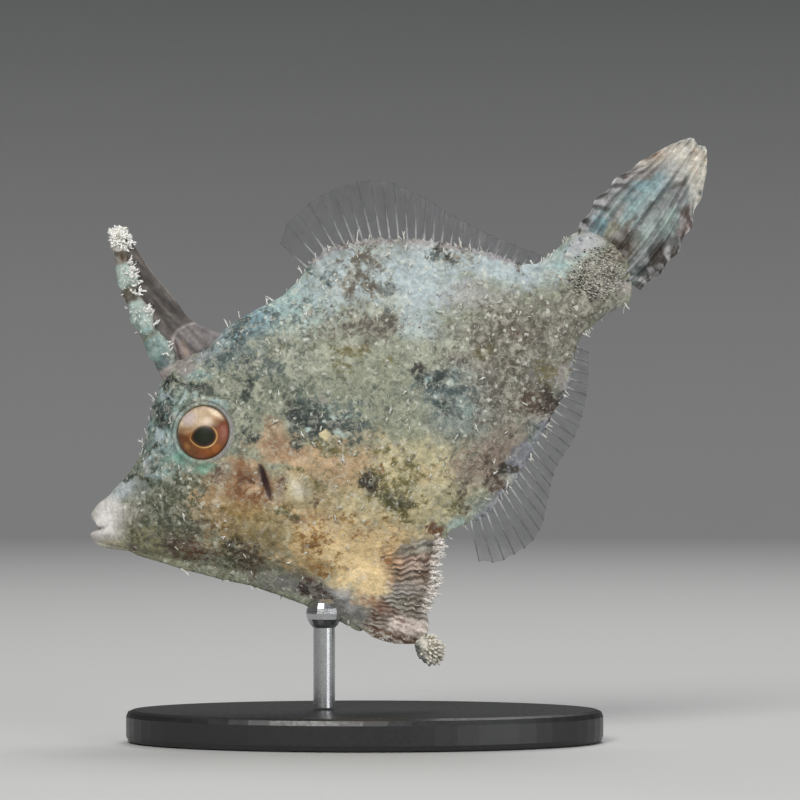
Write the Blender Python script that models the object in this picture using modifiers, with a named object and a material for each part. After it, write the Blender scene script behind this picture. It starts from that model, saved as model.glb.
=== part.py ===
"""A still, life-size model of an aiptasia-eating filefish, Acreichthys tomentosus, head down over a plain stand.

The fish is modelled level in its own frame: x runs from the snout to the tail, z up its back and y out of
its right side. The empty filefish_pose then tips it head down over the stand. Every length below is in
hundredths of TOTAL_LENGTH, which are millimetres at that size, and make() turns them into metres.
"""

import math
import random

import bmesh
import bpy
import numpy as np
from mathutils import Matrix, Vector

# Driving sizes
TOTAL_LENGTH = 0.100
UNIT = TOTAL_LENGTH / 100
PITCH = math.radians(26.8)
GAP = 0.3
SNOUT_X = -42.2
SNOUT_Z = 30.0

# The side view of the body, as (x, z) along each outline
BACK = (
    (-0.9, -1.4), (-0.5, -0.4), (0.2, 0.8), (0.9, 1.8), (2.2, 2.5), (5, 3.3), (8, 4.3), (10, 5.6), (12, 7.7),
    (14, 10.1), (16, 12.1), (18, 13.8), (20, 15.1), (24, 14.9), (28, 16.0), (32, 16.6), (37, 16.5), (40, 17.2),
    (43.5, 19.0), (46, 19.4), (50, 18.6), (54, 17.0), (58, 14.9), (62, 12.0), (66, 8.8), (69, 5.8), (71.5, 4.6),
    (75, 5.2), (77.5, 6.0), (79, 5.9), (80.5, 4.7), (81.6, 2.7), (82.3, 0.3),
)
BELLY_EDGE = (
    (-0.9, -2.2), (-0.6, -2.8), (0.2, -3.7), (2, -5.0), (4, -7.0), (8, -10.9), (12, -14.4), (16, -17.8),
    (20, -21.8), (24, -26.7), (26.6, -29.9), (28.5, -27.9), (30.4, -25.2), (33, -22.8), (36.5, -22.0),
    (39.5, -22.9), (42.2, -23.9), (44, -23.0), (48, -23.3), (52, -22.2), (58, -19.0), (64, -14.9), (68, -12.0),
    (70.2, -8.9), (73, -6.9), (77, -6.2), (80, -6.0), (81.4, -4.4), (82.3, -1.7),
)
BELLY_MUSCLE = (
    (-0.9, -2.1), (2, -4.6), (8, -9.6), (14, -14.0), (20, -18.3), (26, -21.6), (33, -22.4), (42, -22.6),
    (50, -21.6), (58, -17.8), (66, -12.4), (70, -8.4), (78, -5.8), (82.3, -1.6),
)
# The height at which the body is widest, its half-width there, and the half-thickness of its two edges
WIDEST = (
    (-0.9, -1.8), (1, -1.6), (6, -2.8), (12, -2.6), (20, -1.0), (28, -3.0), (40, -3.4), (52, -2.4), (62, -2.0),
    (70, -1.6), (79, -0.2), (82.3, -0.7),
)
HALF_WIDTH = (
    (-0.9, 0.25), (-0.4, 0.85), (0.6, 1.3), (1.3, 1.35), (2.2, 1.1), (3.4, 1.35), (7, 2.3), (12, 3.9),
    (17, 5.2), (22, 5.9),
    (28, 6.2), (36, 6.1), (44, 5.2), (54, 3.9), (64, 2.5), (70, 1.7), (75, 1.3), (80, 0.9), (82.3, 0.3),
)
EDGE_THICKNESS = (
    (-0.9, 0.35), (0, 0.55), (3, 0.6), (8, 0.8), (20, 1.1), (30, 1.0), (45, 0.8), (66, 0.75), (74, 0.9), (80, 0.7),
    (82.3, 0.5),
)
UPPER_LEVELS, LOWER_LEVELS = 6, 7

# The cuts between the parts of the body: a point of the plane, and how far its top leans towards the tail
JAW_CUT = ((5.3, -1.6), math.radians(19))
GILL_CUT = ((26.3, -2.0), math.radians(15))
TAIL_CUT = ((70.6, -2.0), math.radians(-3))
MOUTH_LINE = ((0.7, -0.2), (5.0, -2.7))
LIPS = (
    ("upper_jaw", 1, (2.0, -0.5), (1.85, 1.65, 0.95), math.radians(30)),
    ("lower_jaw", -1, (0.45, -1.5), (1.25, 1.55, 1.0), 0.0),
)

# The head's features
EYE_PLACE = (19.6, 4.5)
EYE_RADIUS, EYE_DEPTH, EYE_SUNK = 3.75, 1.9, 0.75
EYE_RIM = 0.34
NOSTRILS = ((15.6, 7.4), (14.7, 6.5))
NOSTRIL_RADIUS = 0.33
GILL_TOP, GILL_FOOT = (24.8, -2.9), (23.5, -7.6)
GILL_WIDTH, GILL_DEPTH = 0.75, 1.3

# The fins: where their rays start on the body and the margin that the rays reach
FIN_SUNK = 1.6
MEMBRANE, RAY_FOOT, RAY_TIP = 0.26, 0.46, 0.32
DORSAL_RAYS, DORSAL_START, DORSAL_END = 26, 43.0, 69.2
DORSAL_MARGIN = (
    (40.7, 23.2), (43.3, 25.4), (49.3, 26.5), (53.5, 26.1), (57, 24.7), (60.5, 21.2), (64, 15.7), (68, 10.3),
    (72.4, 5.3),
)
ANAL_RAYS, ANAL_START, ANAL_END = 24, 47.3, 70.2
ANAL_MARGIN = (
    (45.4, -28.6), (48.3, -30.0), (52, -29.8), (54.9, -28.5), (57.3, -25.9), (60.6, -22.0), (64.6, -19.5),
    (67, -17.4), (70, -13.4), (72, -9.6),
)
TAIL_FIN_ROOT, TAIL_FIN_TILT = (79.7, 0.0), math.radians(26.1)
TAIL_FIN_RAYS, TAIL_FIN_LENGTH, TAIL_FIN_SHORTER = 12, 21.6, 5.2
TAIL_FIN_HEIGHT = ((0, 5.6), (2.4, 6.3), (6, 6.6), (11, 6.0), (13.5, 5.1), (16.4, 4.1), (19, 3.4), (21.6, 2.6))
PECTORAL_PLACE, PECTORAL_LENGTH, PECTORAL_ROOT = (27.8, -8.8), 7.2, 1.3
PECTORAL_RAYS, PECTORAL_SPREAD, PECTORAL_OUT = 10, math.radians(38), math.radians(34)

# The first dorsal spine, from its root up, as (x, z, half-width fore and aft), and the web behind it
SPINE_PATH = (
    (19.3, 12.4, 1.5), (19.2, 15.0, 1.55), (19.1, 18.0, 1.5), (18.9, 21.5, 1.45), (19.1, 25.0, 1.4),
    (19.6, 28.5, 1.25), (20.3, 31.6, 1.05), (21.1, 34.0, 0.75), (21.6, 35.2, 0.35),
)
SPINE_FLATNESS = 0.8
SPINE_SIDES = 10
WEB_EDGE = ((22.5, 32.2), (22.9, 27.7), (23.8, 24.8), (24.9, 20.8), (26.0, 18.5), (28.9, 15.8))

# The flap under the belly: its root on the body, its free edge, and the tuft on the end of the pelvic bone
FLAP_ROOT = ((34.8, -20.2), (32.0, -21.4), (29.8, -23.8), (28.0, -26.2), (26.2, -28.4))
FLAP_EDGE = (
    (42.3, -22.6), (41.9, -24.0), (40.3, -25.9), (38.8, -28.5), (37.3, -30.2), (35.8, -31.6), (35.3, -33.2),
    (33.4, -34.9), (30.2, -33.6), (27.2, -30.9),
)
FLAP_FOLDS, FLAP_FOLD, FLAP_RIM = 13, 0.4, 0.75
TUFT_CENTRE, TUFT_RADII = (33.7, -36.3), (1.8, 1.2, 2.2)

# The bristles: how long and how thick at the root, each made with four sides and its root sunk in
SPIKE_SIDES, SPIKE_SUNK = 4, 0.35
STEM_BRISTLES, STEM_PATCH, STEM_BRISTLE = 24, ((73.6, -3.9), (78.6, 3.2)), (1.15, 0.27)
BARBS, TIP_BARBS, BARB = 8, 5, (0.8, 0.27)
FRINGE_LOCKS, FRINGE_LOCK = 17, (1.5, 0.3)
TUFT_BRISTLES, TUFT_BRISTLE = 30, (0.8, 0.3)

# The stand
BASE_LENGTH, BASE_WIDTH, BASE_HEIGHT, BASE_BEVEL = 66.0, 38.0, 4.5, 0.9
BASE_X = -4.6
ROD_X, ROD_RADIUS, CUP_RADIUS = -10.2, 1.5, 2.5
ROD_TOP = 17.8


def smooth(points):
    """A function that runs through (place, value) points with no overshoot between them."""
    places, values = np.array(points, float).T
    steps = np.diff(places)
    slopes = np.diff(values) / steps
    tangents = np.concatenate([slopes[:1], np.zeros(len(slopes) - 1), slopes[-1:]])
    for i in range(1, len(slopes)):
        if slopes[i - 1] * slopes[i] > 0:
            tangents[i] = 2 / (1 / slopes[i - 1] + 1 / slopes[i])

    def value(place):
        place = min(max(place, places[0]), places[-1])
        i = min(int(np.searchsorted(places, place, side="right")) - 1, len(steps) - 1)
        t = (place - places[i]) / steps[i]
        rise = values[i + 1] - values[i]
        start, end = tangents[i] * steps[i], tangents[i + 1] * steps[i]
        return values[i] + t * (start + t * (3 * rise - 2 * start - end + t * (start + end - 2 * rise)))

    return value


def path_through(points):
    """A function of a share from 0 to 1 that runs smoothly through points of the side view."""
    points = np.array(points, float)
    lengths = np.linalg.norm(np.diff(points[:, :2], axis=0), axis=1)
    shares = np.concatenate([[0], np.cumsum(lengths)]) / lengths.sum()
    sides = [smooth(np.column_stack([shares, side])) for side in points.T]
    return lambda share: np.array([side(share) for side in sides])


back, belly_edge, belly_muscle = smooth(BACK), smooth(BELLY_EDGE), smooth(BELLY_MUSCLE)
widest, widest_half, edge_thickness = smooth(WIDEST), smooth(HALF_WIDTH), smooth(EDGE_THICKNESS)


def half_width(x, z):
    """How far the body's skin lies from its middle plane at a place in the side view."""
    middle = widest(x)
    edge = back(x) if z > middle else belly_edge(x)
    muscle = edge if z > middle else max(belly_muscle(x), edge)
    to_edge = min((z - middle) / (edge - middle), 1)
    to_muscle = min((z - middle) / (muscle - middle), 1)
    swell = (1 - to_muscle**1.8) ** 0.8
    return widest_half(x) * swell + edge_thickness(x) * (1 - to_edge**6) ** 0.5


def skin_point(x, z, side):
    return Vector((x, side * half_width(x, z), z))


def skin_normal(x, z, side):
    """The outward direction of the skin at a place in the side view, for side 1 (right) or -1 (left)."""
    step = 0.4
    along = (half_width(x + step, z) - half_width(x - step, z)) / (2 * step)
    up = (half_width(x, z + step) - half_width(x, z - step)) / (2 * step)
    return Vector((-along, side, -up)).normalized()


def collection_named(name):
    collection = bpy.data.collections.new(name)
    bpy.context.scene.collection.children.link(collection)
    return collection


def clear_scene():
    for obj in list(bpy.data.objects):
        bpy.data.objects.remove(obj, do_unlink=True)


def make(name, points, faces, collection):
    """A mesh object from points in the model's units, with its faces turned outwards."""
    mesh = bpy.data.meshes.new(name)
    mesh.from_pydata([Vector(point) * UNIT for point in points], [], faces)
    obj = bpy.data.objects.new(name, mesh)
    collection.objects.link(obj)
    turn_outwards(mesh)
    return obj


def turn_outwards(mesh):
    shape = bmesh.new()
    shape.from_mesh(mesh)
    bmesh.ops.recalc_face_normals(shape, faces=shape.faces)
    if shape.calc_volume(signed=True) < 0:
        bmesh.ops.reverse_faces(shape, faces=shape.faces)
    shape.to_mesh(mesh)
    shape.free()


def loft(name, rings, collection):
    """A closed body through rings of the same number of points, with flat ends."""
    sides = len(rings[0])
    points = [point for ring in rings for point in ring]
    faces = [list(range(sides)), list(range(len(points) - sides, len(points)))]
    for start in range(0, len(points) - sides, sides):
        for i in range(sides):
            j = (i + 1) % sides
            faces.append([start + i, start + j, start + sides + j, start + sides + i])
    return make(name, points, faces, collection)


def blade(name, rows, halves, collection):
    """A thin closed body about a grid of middle points, split into triangles alike on both faces.

    rows holds rows of middle points, and halves the half-thickness at each, measured along y."""
    height, width = len(rows), len(rows[0])
    points = []
    for side in (1, -1):
        for row, row_halves in zip(rows, halves):
            points += [(x, y + side * half, z) for (x, y, z), half in zip(row, row_halves)]
    back_face = height * width
    faces = []
    for i in range(height - 1):
        for j in range(width - 1):
            a, b = i * width + j, i * width + j + 1
            c, d = a + width, b + width
            for shift in (0, back_face):
                faces += [[a + shift, b + shift, d + shift], [a + shift, d + shift, c + shift]]
    rim = [j for j in range(width)]
    rim += [i * width + width - 1 for i in range(1, height)]
    rim += [(height - 1) * width + j for j in range(width - 2, -1, -1)]
    rim += [i * width for i in range(height - 2, 0, -1)]
    for a, b in zip(rim, rim[1:] + rim[:1]):
        faces.append([a, b, b + back_face, a + back_face])
    return make(name, points, faces, collection)


def spike(name, root, direction, length, radius, collection, lean=(0, 0, 0)):
    """A tapered bristle from its root on a surface, sunk in, its tip bent over by lean."""
    direction = Vector(direction).normalized()
    across = direction.orthogonal().normalized()
    over = direction.cross(across)
    rings = []
    for out, size in ((-SPIKE_SUNK / length, 1.0), (0.5, 0.75), (1.0, 0.3)):
        centre = Vector(root) + direction * length * out + Vector(lean) * length * max(out, 0) ** 2
        ring = []
        for i in range(SPIKE_SIDES):
            angle = 2 * math.pi * i / SPIKE_SIDES
            ring.append(centre + (across * math.cos(angle) + over * math.sin(angle)) * radius * size)
        rings.append(ring)
    return loft(name, rings, collection)


def scattered(count, low, high, draw):
    """Places spread evenly but not in rows over a box of the side view."""
    places = []
    for i in range(count):
        x = low[0] + (high[0] - low[0]) * ((i + 0.5) / count)
        z = low[1] + (high[1] - low[1]) * ((i * 0.618 + 0.3) % 1)
        places.append((x + draw.uniform(-0.1, 0.1), z + draw.uniform(-0.15, 0.15)))
    return places


def evaluated_mesh(obj):
    bpy.context.view_layer.update()
    graph = bpy.context.evaluated_depsgraph_get()
    return bpy.data.meshes.new_from_object(obj.evaluated_get(graph), depsgraph=graph)


def keep_largest(mesh):
    """Leaves only the largest closed surface of a mesh."""
    shape = bmesh.new()
    shape.from_mesh(mesh)
    left, bodies = set(shape.faces), []
    while left:
        body, edge_faces = set(), [left.pop()]
        while edge_faces:
            face = edge_faces.pop()
            body.add(face)
            for edge in face.edges:
                for other in edge.link_faces:
                    if other in left:
                        left.remove(other)
                        edge_faces.append(other)
        bodies.append(body)
    sizes = [sum(face.calc_area() for face in body) for body in bodies]
    for body, size in zip(bodies, sizes):
        if size < max(sizes):
            bmesh.ops.delete(shape, geom=list(body), context="FACES")
    shape.to_mesh(mesh)
    shape.free()


def combine(obj, others, operation, solver="EXACT"):
    """Joins closed meshes to obj, or cuts them out of it, by one Boolean on a collection, and removes them."""
    group = collection_named(f"{obj.name}_{operation.lower()}")
    for other in others:
        for owner in list(other.users_collection):
            owner.objects.unlink(other)
        group.objects.link(other)
    modifier = obj.modifiers.new(operation, "BOOLEAN")
    modifier.operation = operation
    modifier.operand_type = "COLLECTION"
    modifier.collection = group
    modifier.solver = solver
    mesh = evaluated_mesh(obj)
    obj.modifiers.remove(modifier)
    obj.data = mesh
    for other in others:
        bpy.data.objects.remove(other, do_unlink=True)
    bpy.data.collections.remove(group)
    keep_largest(mesh)
    return obj


def copy_of(obj, name, collection, grown=0.0):
    """A copy of a mesh object, its skin moved out by grown along its normals."""
    copy = bpy.data.objects.new(name, obj.data.copy())
    collection.objects.link(copy)
    if grown:
        shape = bmesh.new()
        shape.from_mesh(copy.data)
        shape.normal_update()
        for vertex in shape.verts:
            vertex.co += vertex.normal * grown * UNIT
        shape.to_mesh(copy.data)
        shape.free()
    return copy


def cut_clear(obj, neighbours, collection):
    """Cuts a piece back so that it meets its neighbours face to face, with the gap between."""
    cutters = [copy_of(n, f"{obj.name}_clear_{i}", collection, grown=GAP) for i, n in enumerate(neighbours)]
    return combine(obj, cutters, "DIFFERENCE")


def slice_away(obj, point, normal):
    """Removes what lies past a plane of the side view on its normal's side, and closes the cut."""
    shape = bmesh.new()
    shape.from_mesh(obj.data)
    bmesh.ops.bisect_plane(
        shape,
        geom=shape.verts[:] + shape.edges[:] + shape.faces[:],
        dist=1e-7,
        plane_co=Vector((point[0], 0, point[1])) * UNIT,
        plane_no=Vector((normal[0], 0, normal[1])),
        clear_outer=True,
    )
    rim = [edge for edge in shape.edges if edge.is_boundary]
    bmesh.ops.contextual_create(shape, geom=rim)
    bmesh.ops.recalc_face_normals(shape, faces=shape.faces)
    shape.to_mesh(obj.data)
    shape.free()


def towards_tail(cut, shift):
    """The point and tailward normal of a cut, with the point moved along the normal by shift."""
    (x, z), lean = cut
    normal = (math.cos(lean), -math.sin(lean))
    return (x + normal[0] * shift, z + normal[1] * shift), normal


def keep_behind(obj, cut):
    point, normal = towards_tail(cut, GAP / 2)
    slice_away(obj, point, (-normal[0], -normal[1]))


def keep_before(obj, cut):
    point, normal = towards_tail(cut, -GAP / 2)
    slice_away(obj, point, normal)


def body_ring(x):
    """One section of the body, from the back down its left side, round the belly and up its right side."""
    middle, top, bottom = widest(x), back(x), belly_edge(x)
    levels = []
    for i in range(UPPER_LEVELS - 1, 0, -1):
        levels.append(middle + (top - middle) * math.sin(math.pi / 2 * i / UPPER_LEVELS))
    levels.append(middle)
    for i in range(1, LOWER_LEVELS):
        levels.append(middle + (bottom - middle) * math.sin(math.pi / 2 * i / LOWER_LEVELS))
    left = [(x, -half_width(x, z), z) for z in levels]
    right = [(x, -y, z) for x, y, z in reversed(left)]
    return [(x, 0, top)] + left + [(x, 0, bottom)] + right


def body_core(collection):
    """The whole body from the lips to the root of the tail fin, before it is parted."""
    stations = [-0.9, -0.65, -0.25, 0.3, 0.9, 1.6, 2.4, 3.4, 4.6]
    stations += list(np.arange(6.0, 78.1, 1.8))
    stations += [79.0, 80.0, 81.0, 81.8, 82.3]
    return loft("body_core", [body_ring(x) for x in stations], collection)


def flat_normal(start, end):
    """The direction square to a line of the side view, on its left."""
    run = Vector((end[0] - start[0], end[1] - start[1])).normalized()
    return -run.y, run.x


def ellipsoid(name, radii, matrix, collection, segments=20, rings=10):
    """A closed ellipsoid placed by a matrix whose translation is in the model's units."""
    mesh = bpy.data.meshes.new(name)
    shape = bmesh.new()
    bmesh.ops.create_uvsphere(shape, u_segments=segments, v_segments=rings, radius=1)
    bmesh.ops.transform(shape, matrix=matrix @ Matrix.Diagonal((*radii, 1)), verts=shape.verts)
    bmesh.ops.scale(shape, vec=(UNIT, UNIT, UNIT), verts=shape.verts)
    shape.to_mesh(mesh)
    shape.free()
    obj = bpy.data.objects.new(name, mesh)
    collection.objects.link(obj)
    return obj


def build_jaws(core, fish, helpers):
    """The two jaws with their lips, parted along the line of the mouth."""
    up = flat_normal(*MOUTH_LINE)
    jaws = []
    for name, side, (x, z), radii, tilt in LIPS:
        jaw = copy_of(core, name, fish)
        keep_before(jaw, JAW_CUT)
        place = Matrix.Translation((x, 0, z)) @ Matrix.Rotation(tilt, 4, "Y")
        combine(jaw, [ellipsoid(f"{name}_lip", radii, place, helpers, 16, 10)], "UNION")
        away = (-up[0] * side, -up[1] * side)
        line = (MOUTH_LINE[0][0] - away[0] * GAP / 2, MOUTH_LINE[0][1] - away[1] * GAP / 2)
        slice_away(jaw, line, away)
        jaws.append(jaw)
    return jaws


def facing(x, z, side, sunk):
    """A frame on the skin: its z axis points out of the body, and it is sunk by that much."""
    normal = skin_normal(x, z, side)
    along = Vector((1, 0, 0)) - normal * normal.x
    along.normalize()
    up = normal.cross(along)
    frame = Matrix((along, up, normal)).transposed().to_4x4()
    frame.translation = skin_point(x, z, side) - normal * sunk
    return frame


def eye_rim(name, side, collection):
    """The low ring of skin round an eye."""
    bpy.ops.mesh.primitive_torus_add(
        major_segments=24, minor_segments=6, major_radius=EYE_RADIUS + 0.35, minor_radius=EYE_RIM
    )
    rim = bpy.context.object
    rim.name = name
    rim.data.transform(Matrix.Diagonal((UNIT, UNIT, UNIT, 1)) @ facing(*EYE_PLACE, side, 0.12))
    for owner in list(rim.users_collection):
        owner.objects.unlink(rim)
    collection.objects.link(rim)
    return rim


def gill_slit(name, side, collection):
    """The cutter of the short gill opening ahead of the pectoral fin."""
    middle = ((GILL_TOP[0] + GILL_FOOT[0]) / 2, (GILL_TOP[1] + GILL_FOOT[1]) / 2)
    length = math.dist(GILL_TOP, GILL_FOOT)
    lean = math.atan2(GILL_TOP[0] - GILL_FOOT[0], GILL_TOP[1] - GILL_FOOT[1])
    frame = Matrix.Translation(skin_point(*middle, side)) @ Matrix.Rotation(lean, 4, "Y")
    return ellipsoid(name, (GILL_WIDTH / 2, GILL_DEPTH, length / 2), frame, collection, 10, 8)


def build_head(core, fish, helpers):
    """The head, with its eye sockets and the rims round them, nostrils and gill slits."""
    head = copy_of(core, "head", fish)
    keep_behind(head, JAW_CUT)
    keep_before(head, GILL_CUT)
    combine(head, [eye_rim(f"rim_{side}", side, helpers) for side in (1, -1)], "UNION")
    cutters = []
    for side in (1, -1):
        socket = (EYE_RADIUS + GAP, EYE_RADIUS + GAP, EYE_DEPTH + GAP)
        cutters.append(ellipsoid(f"socket_{side}", socket, facing(*EYE_PLACE, side, EYE_SUNK), helpers))
        cutters.append(gill_slit(f"gill_{side}", side, helpers))
        for i, place in enumerate(NOSTRILS):
            pit = (NOSTRIL_RADIUS, NOSTRIL_RADIUS, 2 * NOSTRIL_RADIUS)
            cutters.append(ellipsoid(f"pit_{side}_{i}", pit, facing(*place, side, 0), helpers, 8, 6))
    combine(head, cutters, "DIFFERENCE")
    return head


def build_eyes(fish):
    """The two eyeballs, flattened as far as they show, each set in its socket."""
    eyes = []
    for name, side in (("eye_right", 1), ("eye_left", -1)):
        radii = (EYE_RADIUS, EYE_RADIUS, EYE_DEPTH)
        frame = facing(*EYE_PLACE, side, EYE_SUNK)
        eye = ellipsoid(name, radii, Matrix.Identity(4), fish)
        eye.location = frame.translation * UNIT
        eye.rotation_euler = frame.to_euler()
        eyes.append(eye)
    return eyes


def ray_grid(roots, margins, ray_shares, shares_out):
    """Rows of middle points and half-thicknesses of a fin whose rays are ridges on its membrane.

    roots and margins are functions of a share along the fin, and shares_out the rows from root to margin."""
    columns = []
    for i, share in enumerate(ray_shares):
        if i:
            gap = share - ray_shares[i - 1]
            columns += [(ray_shares[i - 1] + gap * 0.27, 0.0), (share - gap * 0.27, 0.0)]
        columns.append((share, 1.0))
    rows, halves = [], []
    for out in shares_out:
        row, row_halves = [], []
        for share, height in columns:
            root, margin = roots(share), margins(share)
            x, z = root + (margin - root) * out
            row.append((x, 0.0, z))
            crest = RAY_FOOT + (RAY_TIP - RAY_FOOT) * out
            row_halves.append(MEMBRANE + (crest - MEMBRANE) * height)
        rows.append(row)
        halves.append(row_halves)
    return rows, halves


def build_soft_fin(name, outline, inward, start, end, margin, rays, crowding, core, fish, helpers):
    """A fin along the back or belly: its rays start on the body's outline and reach its margin."""

    def root(share):
        x = start + (end - start) * share
        return np.array([x, outline(x) + inward * FIN_SUNK])

    shares = [(i / (rays - 1)) ** crowding for i in range(rays)]
    rows, halves = ray_grid(root, path_through(margin), shares, (0.0, 0.35, 0.7, 1.0))
    fin = blade(name, rows, halves, fish)
    return cut_clear(fin, [core], helpers)


def build_tail_stem(core, fish, helpers):
    """The stem of the tail, with the patch of bristles that a grown male has on each side."""
    stem = copy_of(core, "tail_stem", fish)
    keep_behind(stem, TAIL_CUT)
    draw = random.Random(1)
    length, radius = STEM_BRISTLE
    bristles = []
    for side in (1, -1):
        for i, (x, z) in enumerate(scattered(STEM_BRISTLES, *STEM_PATCH, draw)):
            direction = skin_normal(x, z, side) + Vector((0.7, 0, draw.uniform(-0.2, 0.3)))
            size = length * draw.uniform(0.8, 1.15)
            bristles.append(spike(f"stem_{side}_{i}", skin_point(x, z, side), direction, size, radius, helpers))
    combine(stem, bristles, "UNION")
    return stem


def build_tail_fin(core, fish, helpers):
    """The tail fin, folded like a closed fan: each ray is a pleat, set a little to one side or the other."""
    height = smooth(TAIL_FIN_HEIGHT)
    columns = 2 * TAIL_FIN_RAYS - 1
    rows, halves = [], []
    for out in (0.0, 0.12, 0.26, 0.42, 0.58, 0.74, 0.89, 1.0):
        row, row_halves = [], []
        for i in range(columns):
            spread = 1 - 2 * i / (columns - 1)
            ray = i // 2 if i % 2 == 0 else None
            length = TAIL_FIN_LENGTH - TAIL_FIN_SHORTER * spread**2
            length -= 0.0 if ray is not None else 0.7 * out
            x = length * out
            pleat = 0.0 if ray is None else 0.22 * (-1) ** ray * math.sin(math.pi * min(out + 0.25, 1))
            row.append((x, pleat, spread * height(x)))
            crest = 0.72 - 0.34 * out
            row_halves.append(0.28 if ray is None else crest)
        rows.append(row)
        halves.append(row_halves)
    fin = blade("tail_fin", rows, halves, fish)
    tilt = Matrix.Rotation(-TAIL_FIN_TILT, 4, "Y")
    place = Vector((TAIL_FIN_ROOT[0], 0, TAIL_FIN_ROOT[1])) * UNIT
    fin.data.transform(Matrix.Translation(place) @ tilt)
    return cut_clear(fin, [core], helpers)


def build_pectoral_fin(name, side, core, fish, helpers):
    """A small fan on the fleshy lobe behind the gill slit, held a little out from the flank."""
    rows, halves = [], []
    columns = 2 * PECTORAL_RAYS - 1
    for out in (0.0, 0.25, 0.5, 0.75, 1.0):
        row, row_halves = [], []
        for i in range(columns):
            spread = 1 - 2 * i / (columns - 1)
            angle = spread * PECTORAL_SPREAD
            length = PECTORAL_LENGTH * (1 - 0.22 * spread**2) * out
            row.append((length * math.cos(angle), 0.0, spread * PECTORAL_ROOT + length * math.sin(angle)))
            row_halves.append(MEMBRANE + (0.0 if i % 2 else 0.14 * (1 - 0.6 * out)))
        rows.append(row)
        halves.append(row_halves)
    fin = blade(name, rows, halves, fish)
    turn = Matrix.Rotation(side * PECTORAL_OUT, 4, "Z") @ Matrix.Rotation(math.radians(8), 4, "Y")
    root = skin_point(*PECTORAL_PLACE, side) - Vector((0.9, side * 0.9, 0))
    fin.data.transform(Matrix.Translation(root * UNIT) @ turn)
    lobe_place = Matrix.Translation(skin_point(*PECTORAL_PLACE, side) + Vector((0.1, -side * 0.2, 0)))
    lobe = ellipsoid(f"{name}_lobe", (1.5, 0.85, 1.8), lobe_place, helpers, 12, 8)
    combine(fin, [lobe], "UNION")
    return cut_clear(fin, [core], helpers)


def spine_ring(path, share):
    """One section of the dorsal spine, square to its path."""
    x, z, half = path(share)
    before, after = path(max(share - 0.02, 0)), path(min(share + 0.02, 1))
    run = Vector((after[0] - before[0], 0, after[1] - before[1])).normalized()
    fore = Vector((run.z, 0, -run.x))
    ring = []
    for i in range(SPINE_SIDES):
        angle = 2 * math.pi * i / SPINE_SIDES
        ring.append(
            Vector((x, 0, z)) + fore * half * math.cos(angle) + Vector((0, half * SPINE_FLATNESS * math.sin(angle), 0))
        )
    return ring


def build_spine(core, fish, helpers):
    """The first dorsal spine, raised."""
    path = path_through(SPINE_PATH)
    spine = loft("dorsal_spine", [spine_ring(path, i / 12) for i in range(13)], fish)
    return cut_clear(spine, [core], helpers)


def add_barbs(spine, helpers):
    """Rows of short barbs down both sides of the spine, and a few round its tip."""
    path, draw = path_through(SPINE_PATH), random.Random(3)
    length, radius = BARB
    barbs = []
    for side in (1, -1):
        for fore in (0.45, -0.45):
            for i in range(BARBS):
                share = 0.42 + 0.54 * (i + (0.5 if fore > 0 else 0.0)) / BARBS
                x, z, half = path(share)
                root = (x - fore * half, side * half * SPINE_FLATNESS * 0.8, z)
                direction = (-fore, side, 0.15 + 0.5 * max(share - 0.8, 0) / 0.2)
                size = length * draw.uniform(0.8, 1.15) * (1 if share > 0.6 else 0.8)
                name = f"barb_{side}_{fore}_{i}"
                barbs.append(spike(name, root, direction, size, radius, helpers, (0, 0, -0.2)))
    x, z, half = path(0.985)
    for i in range(TIP_BARBS):
        around = 2 * math.pi * i / TIP_BARBS
        direction = (0.7 * math.cos(around), 0.7 * math.sin(around), 1)
        root = (x + 0.2 * math.cos(around), 0.2 * math.sin(around), z - 0.1)
        barbs.append(spike(f"tip_{i}", root, direction, length, radius, helpers))
    combine(spine, barbs, "UNION")


def build_web(spine, core, fish, helpers):
    """The thin web from the spine down to the back."""
    spine_path, edge_path = path_through(SPINE_PATH), path_through(WEB_EDGE)
    rows, halves = [], []
    for out in np.linspace(0, 1, 9):
        fore = spine_path(0.92 - 0.8 * out)[:2]
        if out > 0.75:
            fore = fore + np.array([(out - 0.75) * 8, (0.75 - out) * 4])
        aft = edge_path(out) - np.array([0.0, 1.5 * out])
        row = [tuple(fore + (aft - fore) * t) for t in np.linspace(0, 1, 5)]
        rows.append([(x, 0.0, z) for x, z in row])
        halves.append([MEMBRANE + 0.05] * 5)
    web = blade("spine_web", rows, halves, fish)
    return cut_clear(web, [spine, core], helpers)


def build_flap(tuft, core, fish, helpers):
    """The flap of skin under the belly, with its folds, on the bar of the pelvic bone."""
    root_path, edge_path = path_through(FLAP_ROOT), path_through(FLAP_EDGE)
    columns = 2 * FLAP_FOLDS + 1
    rows, halves = [], []
    for out in (0.0, 0.2, 0.4, 0.6, 0.8, 1.0):
        row, row_halves = [], []
        for i in range(columns):
            share = i / (columns - 1)
            root, edge = root_path(share), edge_path(share * 0.98)
            x, z = root + (edge - root) * out
            row.append((x, 0.0, z))
            fold = FLAP_FOLD if i % 2 else 0.0
            bar = FLAP_RIM * max(0.0, (share - 0.7) / 0.3) * max(out, 0.3)
            row_halves.append(MEMBRANE + fold * (1 - 0.4 * out) + bar)
        rows.append(row)
        halves.append(row_halves)
    flap = blade("belly_flap", rows, halves, fish)
    return cut_clear(flap, [core, tuft], helpers)


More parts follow.
